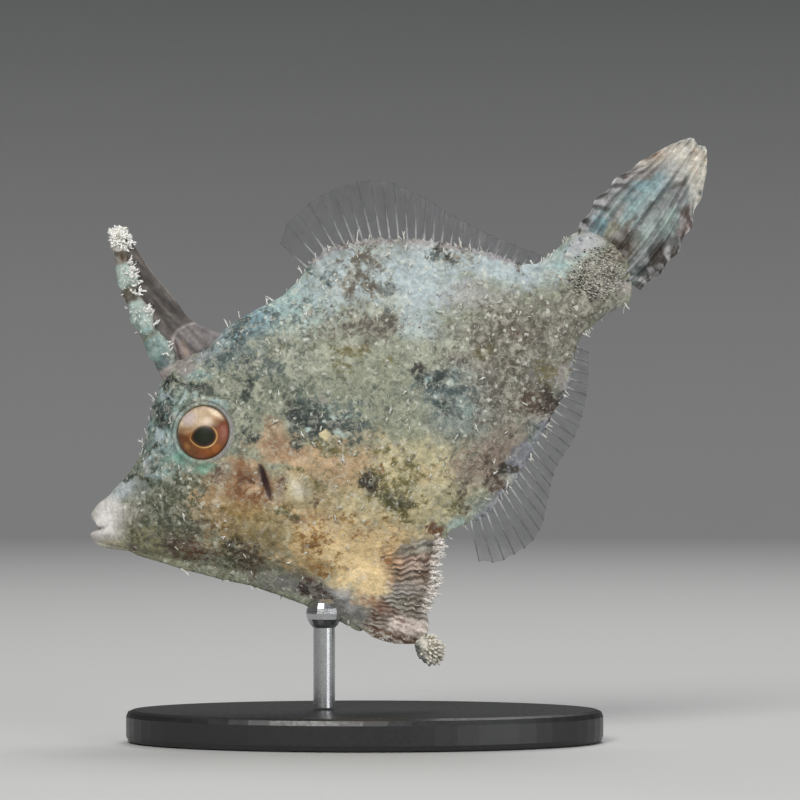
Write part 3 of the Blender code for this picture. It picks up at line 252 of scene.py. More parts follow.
# The skin's markings as they are laid on: colour, middle (x, z), half-length, half-height, tilt, strength
MARKS = (
    ("grey green", 8.6, -0.5, 8.6, 8.6, -27, 1), ("sage", 24.7, 3.8, 9.7, 8.3, -27, 0.8),
    ("aqua", 15.6, 6.6, 5.3, 7.6, -17, 0.85), ("pale sage", 40.2, 6.8, 9.7, 6.6, -37, 0.75),
    ("sage", 42.1, -0.0, 8.6, 4.1, -37, 0.9), ("pale sage", 54.4, 1.2, 6.1, 3.0, -27, 0.8),
    ("sky", 31.7, 15.1, 6.9, 2.8, 3, 0.95), ("pale aqua", 39.6, 14.9, 5.8, 4.7, -7, 0.95),
    ("mist", 46.7, 15.1, 6.1, 5.0, -27, 0.9), ("mist", 55.2, 10.4, 7.5, 6.1, -27, 0.95),
    ("mist", 52.6, 4.4, 2.5, 3.6, 53, 0.6), ("mist", 64.7, 7.2, 6.4, 3.0, -39, 0.95),
    ("mist", 71.2, 3.2, 4.7, 2.5, -17, 0.9), ("pale aqua", 75.8, 3.1, 4.1, 2.5, 8, 0.95),
    ("lilac", 78.4, 4.1, 3.3, 1.8, 5, 0.95), ("lilac", 60.6, 4.3, 5.5, 1.9, -33, 0.6),
    ("blue grey", 53.0, -8.2, 6.4, 5.8, -27, 0.9), ("stone", 62.9, -3.9, 8.0, 6.6, -47, 0.9),
    ("stone", 69.3, -4.8, 4.7, 4.7, -27, 0.8), ("stone", 75.4, -3.2, 6.1, 2.8, -12, 0.8),
    ("pink grey", 57.3, -3.7, 3.9, 2.2, -27, 0.5), ("keel grey", 64.2, -11.5, 4.1, 5.0, 33, 0.8),
    ("tan", 26.5, -12.6, 15.2, 6.9, -35, 1), ("tan", 35.3, -9.0, 9.1, 5.0, -27, 0.9),
    ("tan", 17.5, -5.0, 4.7, 5.3, -7, 0.95), ("sand", 33.9, -22.5, 9.1, 5.8, -42, 1),
    ("sand", 28.3, -16.6, 8.3, 4.7, -35, 0.8), ("cream", 45.2, -14.0, 4.4, 7.7, 53, 0.95),
    ("cream", 40.4, -17.8, 6.1, 3.6, -27, 0.95), ("cream", 34.2, -14.2, 6.9, 3.3, -27, 0.7),
    ("straw", 29.8, -19.9, 7.5, 4.7, -35, 0.9), ("straw", 34.1, -24.2, 3.6, 4.1, -27, 0.8),
    ("straw", 36.7, -20.1, 4.1, 1.7, -27, 0.5), ("olive wash", 7.3, -5.5, 5.3, 3.3, -39, 0.75),
    ("stone", 7.8, -1.9, 3.0, 1.9, -27, 0.5), ("stone", 58.7, -10.3, 5.5, 4.7, -27, 0.7),
    ("peach", 32.0, -6.4, 5.8, 2.5, -27, 0.8), ("peach", 27.5, -2.0, 1.9, 4.4, 53, 0.85),
    ("mauve", 54.4, -16.2, 5.3, 3.6, -7, 0.85), ("pink grey", 61.4, -15.5, 3.6, 3.0, 3, 0.6),
    ("mauve", 50.2, -16.8, 3.0, 3.0, -27, 0.7), ("lilac blue", 61.8, -16.2, 4.7, 1.1, 28, 0.9),
    ("lilac blue", 56.9, -18.4, 3.6, 1.4, 25, 0.9), ("lilac blue", 51.6, -22.2, 3.3, 1.1, 18, 0.8),
    ("blue grey", 48.5, -22.2, 2.2, 1.7, 13, 0.7), ("keel grey", 20.1, -19.0, 6.4, 1.5, -44, 0.95),
    ("keel grey", 25.1, -24.6, 7.2, 2.1, -49, 1), ("keel grey", 29.0, -29.4, 5.5, 2.1, -45, 1),
    ("lilac", 26.6, -23.8, 1.4, 0.8, -47, 0.6), ("lilac", 26.9, -26.2, 1.2, 0.7, -52, 0.4),
    ("mauve", 19.0, -1.7, 2.6, 1.4, -27, 0.6), ("ochre", 19.7, -7.9, 2.2, 1.7, -27, 0.8),
    ("clay", 21.6, -4.5, 3.3, 2.5, 53, 0.85), ("clay", 28.5, -1.5, 1.9, 3.6, 58, 0.5),
    ("clay", 17.1, -3.5, 1.9, 1.4, -27, 0.35), ("clay", 26.2, -11.7, 2.8, 1.1, -27, 0.3),
    ("clay", 33.9, -22.8, 1.2, 2.2, -37, 0.5), ("peach", 29.8, -26.7, 2.8, 1.2, -39, 0.8),
    ("stone", 78.4, -0.4, 3.6, 3.0, -27, 0.8), ("tan", 44.5, -14.6, 1.9, 1.7, -27, 0.4),
    ("olive wash", 21.5, -11.7, 4.7, 2.5, -37, 0.6), ("moss", 8.6, -0.5, 5.5, 5.0, -27, 0.34),
    ("moss", 23.2, 8.4, 7.2, 3.6, -27, 0.42), ("moss", 30.6, 6.2, 6.9, 4.7, -27, 0.34),
    ("slate", 36.2, 12.7, 6.9, 3.0, -2, 0.32), ("slate", 30.4, 10.5, 8.0, 2.8, -23, 0.5),
    ("slate", 26.0, 13.2, 4.1, 1.9, -22, 0.7), ("moss", 39.8, 1.6, 8.3, 4.1, -37, 0.22),
    ("grey brown", 49.4, 14.3, 3.9, 4.1, -37, 0.6), ("grey brown", 45.0, 8.7, 7.7, 3.0, -33, 0.42),
    ("grey brown", 62.1, -3.5, 7.7, 5.5, -37, 0.68), ("grey brown", 70.1, -4.4, 4.7, 4.7, -17, 0.58),
    ("grey brown", 76.3, -1.4, 4.7, 3.0, -12, 0.4), ("brown", 82.5, 1.0, 1.9, 2.5, -67, 1),
    ("grey brown", 52.1, -15.5, 5.5, 4.1, -7, 0.36), ("olive", 19.1, -10.4, 6.9, 4.1, -37, 0.34),
    ("olive", 32.7, -8.0, 9.1, 5.5, -27, 0.2), ("olive", 41.9, -14.2, 4.7, 5.5, -27, 0.3),
    ("slate", 51.6, -6.1, 5.0, 4.1, -27, 0.66), ("slate", 15.4, 8.5, 3.6, 6.1, -27, 0.34),
    ("moss", 14.6, 7.7, 1.9, 5.0, -15, 0.45), ("black green", 14.8, 8.8, 1.7, 3.6, -15, 0.5),
    ("slate", 28.7, 12.3, 2.8, 1.5, -12, 0.5), ("pale aqua", 14.7, 4.8, 0.8, 1.4, -17, 0.7),
    ("pale aqua", 12.8, 7.9, 0.6, 1.2, -12, 0.6), ("slate", 30.6, 15.4, 3.3, 1.8, -7, 0.5),
    ("moss", 34.1, 0.4, 2.8, 1.4, -27, 0.95), ("moss", 36.2, -2.6, 3.6, 1.7, -27, 0.7),
    ("grey brown", 48.0, 5.7, 3.0, 1.9, -27, 0.4), ("grey brown", 58.8, -10.0, 5.5, 4.4, -27, 0.72),
    ("dark olive", 10.1, -3.7, 4.7, 3.9, -27, 0.95), ("dark olive", 14.2, -0.5, 2.8, 1.8, -27, 0.8),
    ("olive", 40.0, 6.6, 4.7, 2.2, -27, 0.2), ("grey brown", 61.2, 10.1, 3.3, 1.7, -27, 0.55),
    ("grey brown", 75.9, -5.3, 3.3, 1.2, -7, 0.7), ("slate", 44.4, 15.2, 2.8, 1.7, -27, 0.24),
    ("amber", 31.3, -15.3, 6.4, 3.0, -37, 0.2), ("amber", 26.3, -19.0, 4.1, 1.9, -37, 0.3),
    ("amber", 36.1, -21.8, 1.4, 2.5, -27, 0.35), ("amber", 18.5, -8.5, 4.7, 3.3, -27, 0.18),
    ("moss", 9.4, -4.3, 3.0, 2.8, -27, 0.7), ("moss", 13.5, -1.1, 2.2, 1.9, -27, 0.5),
    ("brown", 10.1, -8.2, 3.3, 1.7, -47, 0.95), ("dark olive", 15.3, -12.9, 1.9, 3.0, -37, 0.85),
    ("brown", 12.9, -11.6, 2.2, 2.2, -27, 0.5), ("rust", 11.0, -9.0, 1.7, 1.2, -27, 0.45),
    ("brown", 13.3, -6.5, 0.8, 2.8, 33, 0.55), ("umber", 16.8, -11.8, 1.4, 1.4, -27, 0.6),
    ("brown", 17.4, -14.2, 1.9, 2.2, -27, 0.7), ("brown", 18.6, -1.5, 1.9, 1.4, -27, 0.75),
    ("moss", 10.7, 3.1, 2.2, 1.4, -57, 0.4), ("slate", 14.8, 10.0, 1.7, 1.5, -17, 0.95),
    ("slate", 16.6, 8.7, 1.5, 0.7, -27, 0.9), ("slate", 11.3, 6.2, 1.0, 3.0, -7, 0.6),
    ("slate", 13.8, 5.9, 0.8, 1.1, -27, 0.7), ("jade", 14.9, 2.7, 2.1, 0.8, -47, 0.8),
    ("jade", 17.4, 0.1, 1.7, 0.7, -27, 0.8), ("pale aqua", 16.6, 11.3, 1.2, 0.7, -52, 0.95),
    ("pale aqua", 19.2, 10.1, 0.3, 1.0, -57, 0.9), ("pale sage", 21.8, 10.4, 0.4, 0.8, -57, 0.8),
    ("pale sage", 24.5, 8.9, 1.2, 1.0, -27, 0.8), ("pale aqua", 22.0, 13.5, 0.8, 0.8, -27, 0.7),
    ("pale sage", 21.2, 8.3, 1.8, 0.5, -19, 0.9), ("pale aqua", 24.0, 6.5, 1.4, 0.7, -47, 0.7),
    ("pale sage", 25.6, 4.4, 0.7, 1.0, -27, 0.7), ("pale sage", 28.5, 6.2, 1.0, 1.1, -27, 0.6),
    ("pale sage", 20.0, 14.4, 1.0, 1.0, -27, 0.8), ("mist", 14.2, 6.3, 0.8, 1.1, -27, 0.9),
    ("lilac", 10.6, 3.8, 1.1, 0.7, 23, 0.7), ("pale aqua", 14.1, 7.3, 0.8, 1.0, -27, 0.5),
    ("black green", 17.6, 12.7, 0.7, 1.0, -27, 0.9), ("black green", 20.7, 11.2, 2.1, 0.6, -37, 0.95),
    ("black green", 22.3, 9.5, 1.9, 1.1, -27, 0.85), ("umber", 18.5, 13.0, 1.2, 0.3, -35, 1),
    ("black green", 20.6, 11.0, 1.1, 0.3, -55, 0.9), ("black green", 26.8, 6.4, 0.8, 1.4, -52, 0.8),
    ("moss", 22.4, 9.1, 1.2, 0.7, -27, 0.6), ("slate", 17.9, 10.0, 0.8, 0.6, -27, 0.5),
    ("black green", 12.1, 5.3, 1.7, 0.2, 15, 0.9), ("black green", 10.0, 4.4, 1.4, 0.2, 15, 0.8),
    ("slate", 14.5, 9.6, 1.2, 1.0, -27, 0.9), ("black green", 16.0, 8.3, 1.0, 0.7, -27, 0.9),
    ("pale aqua", 18.3, 8.3, 0.8, 0.8, 23, 0.7), ("pale aqua", 15.4, 6.6, 0.6, 1.0, -37, 0.8),
    ("mist", 11.3, 4.5, 1.7, 0.3, 15, 0.9), ("pale aqua", 11.7, 2.6, 1.2, 0.8, 3, 0.7),
    ("mist", 10.2, 2.7, 1.1, 0.4, -7, 0.8), ("black green", 28.8, 14.4, 2.2, 0.7, -12, 0.5),
    ("pale aqua", 27.5, 14.2, 1.4, 0.6, -7, 0.6), ("pale sage", 27.9, 11.5, 1.7, 0.6, -17, 0.6),
    ("black green", 18.8, 13.0, 1.5, 0.4, -27, 1), ("moss", 26.0, 8.7, 1.7, 1.4, -27, 0.6),
    ("black green", 27.7, 7.2, 0.8, 2.4, -52, 0.9), ("black green", 25.4, 1.4, 1.1, 1.2, -27, 0.85),
    ("moss", 24.1, 3.2, 1.0, 1.7, -27, 0.6), ("moss", 23.3, -0.2, 1.7, 1.1, -27, 0.5),
    ("slate", 28.8, 12.6, 1.7, 1.7, -27, 0.85), ("black green", 29.7, 10.0, 2.2, 1.1, -17, 0.7),
    ("slate", 35.1, 15.1, 1.2, 0.7, -47, 0.75), ("slate", 42.6, 17.7, 0.8, 0.8, -27, 0.85),
    ("slate", 43.4, 16.3, 0.8, 0.4, -27, 0.7), ("slate", 44.0, 15.1, 0.8, 1.2, 3, 0.6),
    ("slate", 38.2, 12.2, 1.9, 0.7, -27, 0.6), ("olive", 33.9, 9.7, 1.7, 0.8, -27, 0.5),
    ("pink grey", 21.0, 14.3, 2.2, 2.1, -72, 0.9), ("pale aqua", 19.3, 17.7, 1.7, 1.7, -27, 0.8),
    ("lilac", 25.2, 15.6, 3.3, 1.4, 3, 0.7), ("aqua", 22.7, 12.2, 1.9, 1.2, -27, 0.9),
    ("pale sage", 25.2, 8.5, 1.4, 1.7, -27, 0.5), ("rust", 21.6, -5.8, 1.8, 3.0, 53, 0.95),
    ("rust", 22.6, -2.3, 1.2, 1.7, -27, 0.7), ("rust", 20.9, -4.4, 1.0, 2.8, 53, 0.6),
    ("dark rust", 21.8, -4.0, 1.0, 1.1, -27, 0.6), ("peach", 23.9, -2.9, 0.8, 1.2, 33, 0.8),
    ("peach", 22.1, -5.7, 1.0, 0.8, -27, 0.7), ("umber", 52.1, 16.9, 0.7, 1.9, -27, 0.6),
    ("grey brown", 49.6, 15.7, 2.2, 1.4, -27, 0.7), ("dark rust", 48.4, 18.6, 1.2, 0.7, -12, 1),
    ("grey brown", 48.2, 13.3, 0.8, 1.9, -27, 0.6), ("slate", 51.3, 11.1, 1.4, 1.1, -27, 0.75),
    ("grey brown", 49.5, 11.7, 0.8, 1.1, -27, 0.8), ("grey brown", 46.5, 13.2, 1.0, 1.2, -27, 0.7),
    ("grey brown", 44.5, 8.0, 1.7, 1.1, -27, 0.8), ("grey brown", 45.9, 6.6, 1.5, 1.1, -47, 0.8),
    ("grey brown", 48.0, 6.0, 1.5, 2.2, -27, 0.7), ("grey brown", 49.4, 5.5, 0.8, 1.2, -27, 0.8),
    ("olive", 42.8, 5.3, 2.2, 1.1, -27, 0.75), ("slate", 49.9, 8.4, 1.7, 1.1, -27, 0.4),
    ("grey brown", 39.9, 10.0, 2.5, 1.1, -27, 0.5), ("olive", 40.5, 3.2, 1.9, 1.4, -27, 0.4),
    ("olive", 46.8, 1.6, 1.4, 0.8, -27, 0.6), ("moss", 32.6, 4.1, 3.3, 1.7, -27, 0.5),
    ("umber", 60.4, 11.8, 1.5, 1.0, -57, 0.9), ("dark rust", 63.0, 11.2, 1.4, 0.7, -27, 0.95),
    ("mauve", 61.6, 11.5, 0.8, 0.8, -27, 0.8), ("black green", 60.7, 10.0, 1.2, 0.8, -57, 0.7),
    ("slate", 59.1, 11.5, 1.1, 0.6, -27, 0.7), ("lilac", 56.8, 14.5, 2.8, 0.6, -27, 0.5),
    ("lilac", 66.3, 8.2, 3.3, 0.7, -45, 0.8), ("umber", 69.0, 5.6, 0.6, 1.1, -27, 0.9),
    ("slate", 72.3, 2.2, 0.8, 0.7, -27, 0.8), ("slate", 76.2, 4.3, 0.3, 1.1, -57, 0.55),
    ("slate", 77.8, 4.4, 0.3, 1.1, -57, 0.5), ("slate", 79.4, 4.4, 0.3, 1.0, -52, 0.5),
    ("grey brown", 58.6, 6.5, 1.7, 0.6, -27, 0.5), ("grey brown", 61.7, 5.1, 1.9, 0.4, -22, 0.4),
    ("grey brown", 63.9, -0.8, 1.7, 1.4, -27, 0.8), ("grey brown", 60.7, -1.1, 1.9, 1.2, -27, 0.8),
    ("brown", 64.1, -3.4, 1.2, 1.1, -27, 0.6), ("olive", 58.7, -2.5, 1.9, 1.0, -27, 0.5),
    ("grey brown", 60.8, -6.1, 2.5, 1.2, -27, 0.6), ("grey brown", 53.2, -1.0, 2.8, 1.0, -27, 0.6),
    ("olive", 65.5, -9.9, 1.9, 2.2, -27, 0.6), ("umber", 63.7, -13.3, 2.5, 2.1, -37, 1.5),
    ("umber", 63.8, -14.4, 1.2, 1.7, -7, 0.85), ("lilac", 63.3, -13.4, 0.8, 0.8, -27, 0.7),
    ("pink grey", 67.3, -11.2, 0.7, 2.8, -17, 0.8), ("brown", 62.1, -12.9, 2.8, 1.8, -27, 1.3),
    ("grey brown", 70.1, -9.1, 1.4, 1.9, 3, 0.6), ("pale sage", 50.5, -0.3, 2.2, 1.7, -27, 0.7),
    ("umber", 49.8, -1.1, 1.0, 1.2, -7, 0.9), ("black green", 50.2, -3.7, 1.8, 0.8, -47, 1),
    ("black green", 52.1, -3.6, 1.1, 1.2, -27, 1), ("slate", 53.0, -6.3, 3.0, 0.7, -27, 1),
    ("black green", 50.6, -7.1, 1.2, 1.2, -27, 0.95), ("slate", 54.8, -4.6, 2.8, 0.8, -27, 0.4),
    ("pale aqua", 50.5, -3.2, 0.4, 0.4, -27, 0.9), ("pale aqua", 50.5, -5.5, 0.6, 0.4, -27, 0.8),
    ("pale aqua", 52.9, -4.9, 0.6, 0.7, -27, 0.6), ("pale aqua", 50.4, -6.6, 0.4, 0.4, -27, 0.7),
    ("pale aqua", 54.0, -3.3, 0.7, 0.4, -27, 0.5), ("aqua", 53.2, -9.1, 1.2, 1.2, -27, 0.6),
    ("sage", 46.4, -5.3, 3.0, 1.9, -27, 0.5), ("slate", 35.2, -1.5, 6.1, 3.0, -31, 0.7),
    ("black green", 32.1, 0.1, 1.4, 1.9, -27, 1), ("black green", 33.8, -2.1, 2.8, 1.5, -37, 1.1),
    ("black green", 36.9, -3.9, 2.5, 1.2, -33, 0.7), ("black green", 30.5, -2.2, 1.5, 1.1, -47, 1),
    ("umber", 31.6, 2.2, 1.1, 1.7, -27, 0.75), ("pink grey", 35.8, 0.7, 1.9, 0.7, -27, 0.6),
    ("pale aqua", 32.5, -1.7, 0.6, 0.4, -27, 0.9), ("pale aqua", 35.1, -2.1, 0.6, 0.3, -27, 0.9),
    ("pale aqua", 34.2, -0.1, 0.8, 0.4, -27, 0.8), ("pale aqua", 36.5, -2.3, 0.7, 0.4, -27, 0.8),
    ("pale aqua", 38.4, -2.8, 1.1, 0.4, -27, 0.7), ("pale aqua", 36.7, -4.4, 0.7, 0.4, -27, 0.8),
    ("pale aqua", 36.4, -0.7, 1.1, 0.4, -27, 0.6), ("peach", 28.8, 0.6, 1.4, 1.5, -27, 0.6),
    ("rust", 28.8, 1.1, 1.1, 1.2, -27, 0.45), ("rust", 27.6, -2.3, 1.7, 1.8, -27, 0.45),
    ("cream", 34.3, -3.5, 1.4, 0.6, -27, 1), ("olive", 34.2, -4.9, 1.7, 0.6, -27, 0.95),
    ("olive", 39.1, -13.1, 4.1, 3.3, -62, 0.6), ("olive", 40.1, -8.6, 1.4, 0.8, -27, 0.9),
    ("umber", 36.8, -11.0, 1.2, 1.2, -27, 1.15), ("umber", 37.6, -12.6, 1.2, 1.1, -27, 1.1),
    ("dark olive", 38.5, -15.6, 2.2, 1.4, -62, 1), ("dark olive", 39.8, -16.7, 1.0, 1.5, -27, 0.7),
    ("cream", 40.0, -10.4, 1.5, 1.2, -47, 1), ("rust", 39.2, -10.7, 0.5, 0.8, -27, 0.9),
    ("cream", 40.5, -12.2, 1.0, 0.6, -7, 0.8), ("olive", 42.3, -14.1, 1.1, 2.2, -27, 0.5),
    ("olive", 39.1, -18.0, 1.8, 1.0, -27, 0.6), ("grey brown", 43.9, -10.9, 1.1, 1.7, -27, 0.3),
    ("cream", 27.9, -9.1, 2.2, 2.1, -27, 1), ("lip", 28.2, -9.0, 1.2, 1.2, -27, 0.5),
    ("pink grey", 25.3, -7.6, 1.0, 1.5, -27, 0.5), ("olive", 28.6, -6.1, 1.9, 0.7, -22, 0.95),
    ("dark rust", 26.2, -7.3, 0.7, 1.2, -27, 0.6), ("olive", 30.3, -8.7, 0.7, 1.2, -27, 0.85),
    ("dark rust", 29.0, -10.9, 0.7, 0.7, -27, 0.9), ("olive", 24.5, -10.1, 2.5, 0.8, -37, 0.8),
    ("brown", 25.5, -11.8, 1.2, 0.8, -27, 0.6), ("amber", 26.4, -15.8, 2.4, 1.8, -27, 0.8),
    ("cream", 23.3, -13.5, 0.6, 1.7, -32, 0.8), ("ochre", 25.0, -19.6, 2.2, 1.1, -27, 0.8),
    ("amber", 24.8, -20.0, 1.7, 1.0, -47, 0.7), ("dark rust", 22.9, -21.9, 2.1, 1.2, -42, 1.25),
    ("umber", 22.9, -21.9, 2.1, 1.1, -42, 1.6), ("rust", 29.9, -26.9, 1.9, 0.8, -37, 0.75),
    ("rust", 34.1, -23.0, 1.2, 1.9, -37, 0.5), ("brown", 42.4, -21.9, 1.2, 1.2, -27, 1.1),
    ("rust", 42.3, -21.8, 1.1, 1.1, -27, 1), ("pale aqua", 45.0, -22.3, 1.2, 0.8, 13, 0.8),
    ("olive", 46.2, -19.8, 1.1, 1.4, -27, 0.6), ("grey brown", 47.5, -19.2, 0.8, 2.2, -27, 0.5),
    ("keel grey", 40.2, -23.1, 2.8, 1.0, -32, 0.9), ("slate", 40.3, -24.2, 1.7, 0.8, -27, 0.6),
    ("brown", 52.5, -20.0, 1.5, 2.2, -15, 1.2), ("umber", 54.7, -18.8, 1.5, 0.8, -17, 1.1),
    ("brown", 53.1, -16.0, 1.1, 1.9, -27, 0.7), ("slate", 60.0, -17.1, 1.0, 1.9, 3, 0.6),
    ("stone", 5.6, -0.8, 1.7, 3.6, -27, 0.7), ("lip", 2.3, 0.5, 2.8, 4.8, -35, 1),
    ("lip", 0.4, -1.6, 1.9, 1.7, -27, 0.8), ("lip", 0.7, -0.5, 1.1, 1.1, -27, 0.6),
    ("pale sage", 6.1, 1.0, 1.2, 1.2, -27, 0.5), ("mist", 6.1, 2.5, 2.4, 1.2, 5, 0.8),
    ("lilac", 6.6, 2.4, 1.7, 0.8, 5, 0.4), ("cream", 1.1, -3.7, 2.2, 1.0, -42, 0.6),
    ("stone", 1.1, -4.3, 2.5, 0.8, -41, 0.75), ("dark olive", 4.6, -3.1, 0.3, 1.9, -27, 0.8),
    ("dark olive", 4.9, -4.0, 0.3, 1.4, -17, 0.7), ("olive", 3.5, -3.2, 0.2, 1.4, -32, 0.5),
    ("brown", 3.6, -5.4, 0.7, 0.8, -27, 0.95), ("black green", 7.7, 3.2, 1.4, 0.4, -21, 1.2),
    ("black green", 9.0, 2.1, 1.0, 0.4, -67, 1.2), ("blue grey", 7.9, 1.1, 1.7, 1.2, -27, 0.6),
    ("pink grey", 81.1, -3.6, 1.2, 2.8, -107, 0.8), ("keel grey", 77.4, -6.1, 3.6, 1.0, -2, 0.7),
    ("mist", 17.1, 11.1, 1.0, 0.4, -37, 1), ("pale aqua", 18.6, 7.7, 1.1, 0.7, -57, 0.9),
    ("pale aqua", 21.0, 9.4, 0.8, 0.6, 13, 0.8), ("pale aqua", 22.6, 7.6, 1.4, 0.4, -27, 0.8),
    ("pale sage", 18.2, 12.2, 0.7, 0.6, -27, 0.9), ("mist", 13.9, 6.7, 0.6, 1.2, -17, 0.9),
    ("pale aqua", 15.6, 6.2, 0.8, 0.7, -27, 0.8), ("black green", 15.2, 9.2, 1.2, 0.8, -27, 0.9),
    ("black green", 27.7, 7.2, 1.2, 1.4, -47, 0.6), ("slate", 25.6, 13.3, 1.4, 1.1, -17, 0.6),
    ("slate", 30.6, 14.2, 2.8, 1.4, -7, 0.5), ("umber", 63.4, -13.4, 1.1, 1.9, -57, 0.6),
    ("black green", 17.3, 10.6, 1.2, 0.6, -47, 0.7), ("black green", 34.5, -0.2, 1.7, 1.0, -27, 0.6),
    ("keel grey", 34.9, -31.1, 1.9, 1.1, -47, 0.8),
)


def smooth(points):
    """A function that runs through (place, value) points with no overshoot between them."""
    places, values = np.array(points, float).T
    steps = np.diff(places)
    slopes = np.diff(values) / steps
    tangents = np.concatenate([slopes[:1], np.zeros(len(slopes) - 1), slopes[-1:]])
    for i in range(1, len(slopes)):
        if slopes[i - 1] * slopes[i] > 0:
            tangents[i] = 2 / (1 / slopes[i - 1] + 1 / slopes[i])

    def value(place):
        place = np.clip(place, places[0], places[-1])
        i = np.clip(np.searchsorted(places, place, side="right") - 1, 0, len(steps) - 1)
        t = (place - places[i]) / steps[i]
        rise = values[i + 1] - values[i]
        start, end = tangents[i] * steps[i], tangents[i + 1] * steps[i]
        return values[i] + t * (start + t * (3 * rise - 2 * start - end + t * (start + end - 2 * rise)))

    return value


def path_through(points):
    """A function of a share from 0 to 1 that runs smoothly through points of the side view."""
    points = np.array(points, float)
    lengths = np.linalg.norm(np.diff(points[:, :2], axis=0), axis=1)
    shares = np.concatenate([[0], np.cumsum(lengths)]) / lengths.sum()
    sides = [smooth(np.column_stack([shares, side])) for side in points.T]
    return lambda share: np.stack([side(share) for side in sides], axis=-1)


back, belly_edge, belly_muscle = smooth(BACK), smooth(BELLY_EDGE), smooth(BELLY_MUSCLE)
widest, widest_half, edge_thickness = smooth(WIDEST), smooth(HALF_WIDTH), smooth(EDGE_THICKNESS)

# The fins along the back and belly. The bumps are the body's between the rays, and reach is their height.
SoftFin = namedtuple("SoftFin", "name node outline inward start end crowding rays margin bumps reach base")
SOFT_FINS = (
    SoftFin("dorsal", "dorsal_fin", back, -1, 43.0, 69.2, 0.85, 26, DORSAL_MARGIN, 0.34, 1.1, (150, 138, 142)),
    SoftFin("anal", "anal_fin", belly_edge, 1, 47.3, 70.2, 0.95, 24, ANAL_MARGIN, 0.22, 0.9, (122, 124, 138)),
)


def half_width(x, z):
    """How far the body's skin lies from its middle plane at places of the side view."""
    middle = widest(x)
    above = z > middle
    edge = np.where(above, back(x), belly_edge(x))
    muscle = np.where(above, edge, np.maximum(belly_muscle(x), edge))
    to_edge = np.clip((z - middle) / (edge - middle), 0, 1)
    to_muscle = np.clip((z - middle) / (muscle - middle), 0, 1)
    swell = (1 - to_muscle**1.8) ** np.where(above, 0.8, 0.8 + 0.6 * to_muscle**6)
    return widest_half(x) * swell + edge_thickness(x) * np.sqrt(1 - to_edge**6)


def in_plane(x, z, y=0.0):
    """Points of the fish's frame from places of its side view, in its middle plane or y aside from it."""
    return np.stack(np.broadcast_arrays(x, y, z), axis=-1).astype(float)


def skin_point(x, z, side):
    return in_plane(x, z, side * half_width(x, z))


def unit(vectors):
    vectors = np.asarray(vectors, float)
    return vectors / np.maximum(np.linalg.norm(vectors, axis=-1, keepdims=True), 1e-9)


def skin_normal(x, z, side):
    """The outward direction of the smooth skin at places of the side view. side is 1 (right) or -1."""
    step = 0.4
    along = (half_width(x + step, z) - half_width(x - step, z)) / (2 * step)
    up = (half_width(x, z + step) - half_width(x, z - step)) / (2 * step)
    return unit(in_plane(-along, -up, side))


def turned(x, z, place, tilt):
    """Places of the side view turned by a tilt about the origin, then moved to a place."""
    across, up = math.cos(tilt), math.sin(tilt)
    return place[0] + x * across - z * up, place[1] + x * up + z * across


def levelled(x, z):
    """Places of the side view as (level, lift), on the level and straight up as the fish is posed."""
    return turned(x, z, (0, 0), PITCH)


def posed(points):
    """Points of the fish's own frame as points of the part's frame."""
    x, y, z = np.asarray(points, float).reshape(-1, 3).T
    x, z = turned(x, z, (SNOUT_X, SNOUT_Z), PITCH)
    return np.column_stack([x, y, z]) * MM


def linear(colour):
    """A colour of the palette, by name or as sRGB numbers, as linear light."""
    values = np.array(COLOURS[colour][:3] if isinstance(colour, str) else colour, float) / 255
    return np.where(values < 0.04045, values / 12.92, ((values + 0.055) / 1.055) ** 2.4)


def rise(distance, near, far):
    """1 up to near, 0 past far, and smooth between them."""
    t = np.clip((far - distance) / (far - near), 0, 1)
    return t * t * (3 - 2 * t)


def bump(distance, width):
    return np.exp(-((distance / width) ** 2))


def mixed_to(first, second, share):
    return first + (second - first) * share


def mixed(first, second, share):
    """Colours between two others, by a share at each place."""
    return mixed_to(first, second, np.asarray(share)[..., None])


def tinted(colour, shade, share):
    """Colours with a share of a shade mixed in, the shade by name or as sRGB numbers."""
    return mixed(colour, linear(shade), share)


def noise_field(points, size, seed):
    """Smooth random values from -1 to 1 in space, which vary over about that size."""
    table = np.random.default_rng(seed).uniform(-1, 1, 4096)
    cells = np.asarray(points, float).reshape(-1, 3) / size + 100.5
    corner = np.floor(cells).astype(np.int64)
    share = cells - corner
    share = share * share * (3 - 2 * share)
    total = np.zeros(len(cells))
    for step in itertools.product((0, 1), repeat=3):
        at = corner + step
        slot = (at[:, 0] * 73856093 ^ at[:, 1] * 19349663 ^ at[:, 2] * 83492791) & 4095
        total += table[slot] * np.prod(np.where(step, share, 1 - share), axis=1)
    return total.reshape(np.shape(points)[:-1])


def cloud(points, size, seed, octaves=3):
    """Noise with finer and fainter noise on it."""
    total = sum(noise_field(points, size / 2**i, seed + i) / 1.7**i for i in range(octaves))
    return total / sum(1 / 1.7**i for i in range(octaves)) * 1.5


def cell_field(x, z, spacing, seed):
    """How far places of the side view lie from the nearest of many scattered points, and its number."""
    draw = np.random.default_rng(seed)
    shift_x, shift_z, number = draw.random(4096), draw.random(4096), draw.random(4096)
    column, row = np.floor(x / spacing + 100).astype(np.int64), np.floor(z / spacing + 100).astype(np.int64)
    nearest, numbers = np.full(np.shape(x), 1e9), np.zeros(np.shape(x))
    for i, j in itertools.product((-1, 0, 1), repeat=2):
        slot = ((column + i) * 73856093 ^ (row + j) * 19349663) & 4095
        away_x = x - (column + i - 100 + shift_x[slot]) * spacing
        away_z = z - (row + j - 100 + shift_z[slot]) * spacing
        distance = np.hypot(away_x, away_z)
        numbers = np.where(distance < nearest, number[slot], numbers)
        nearest = np.minimum(nearest, distance)
    return nearest, numbers


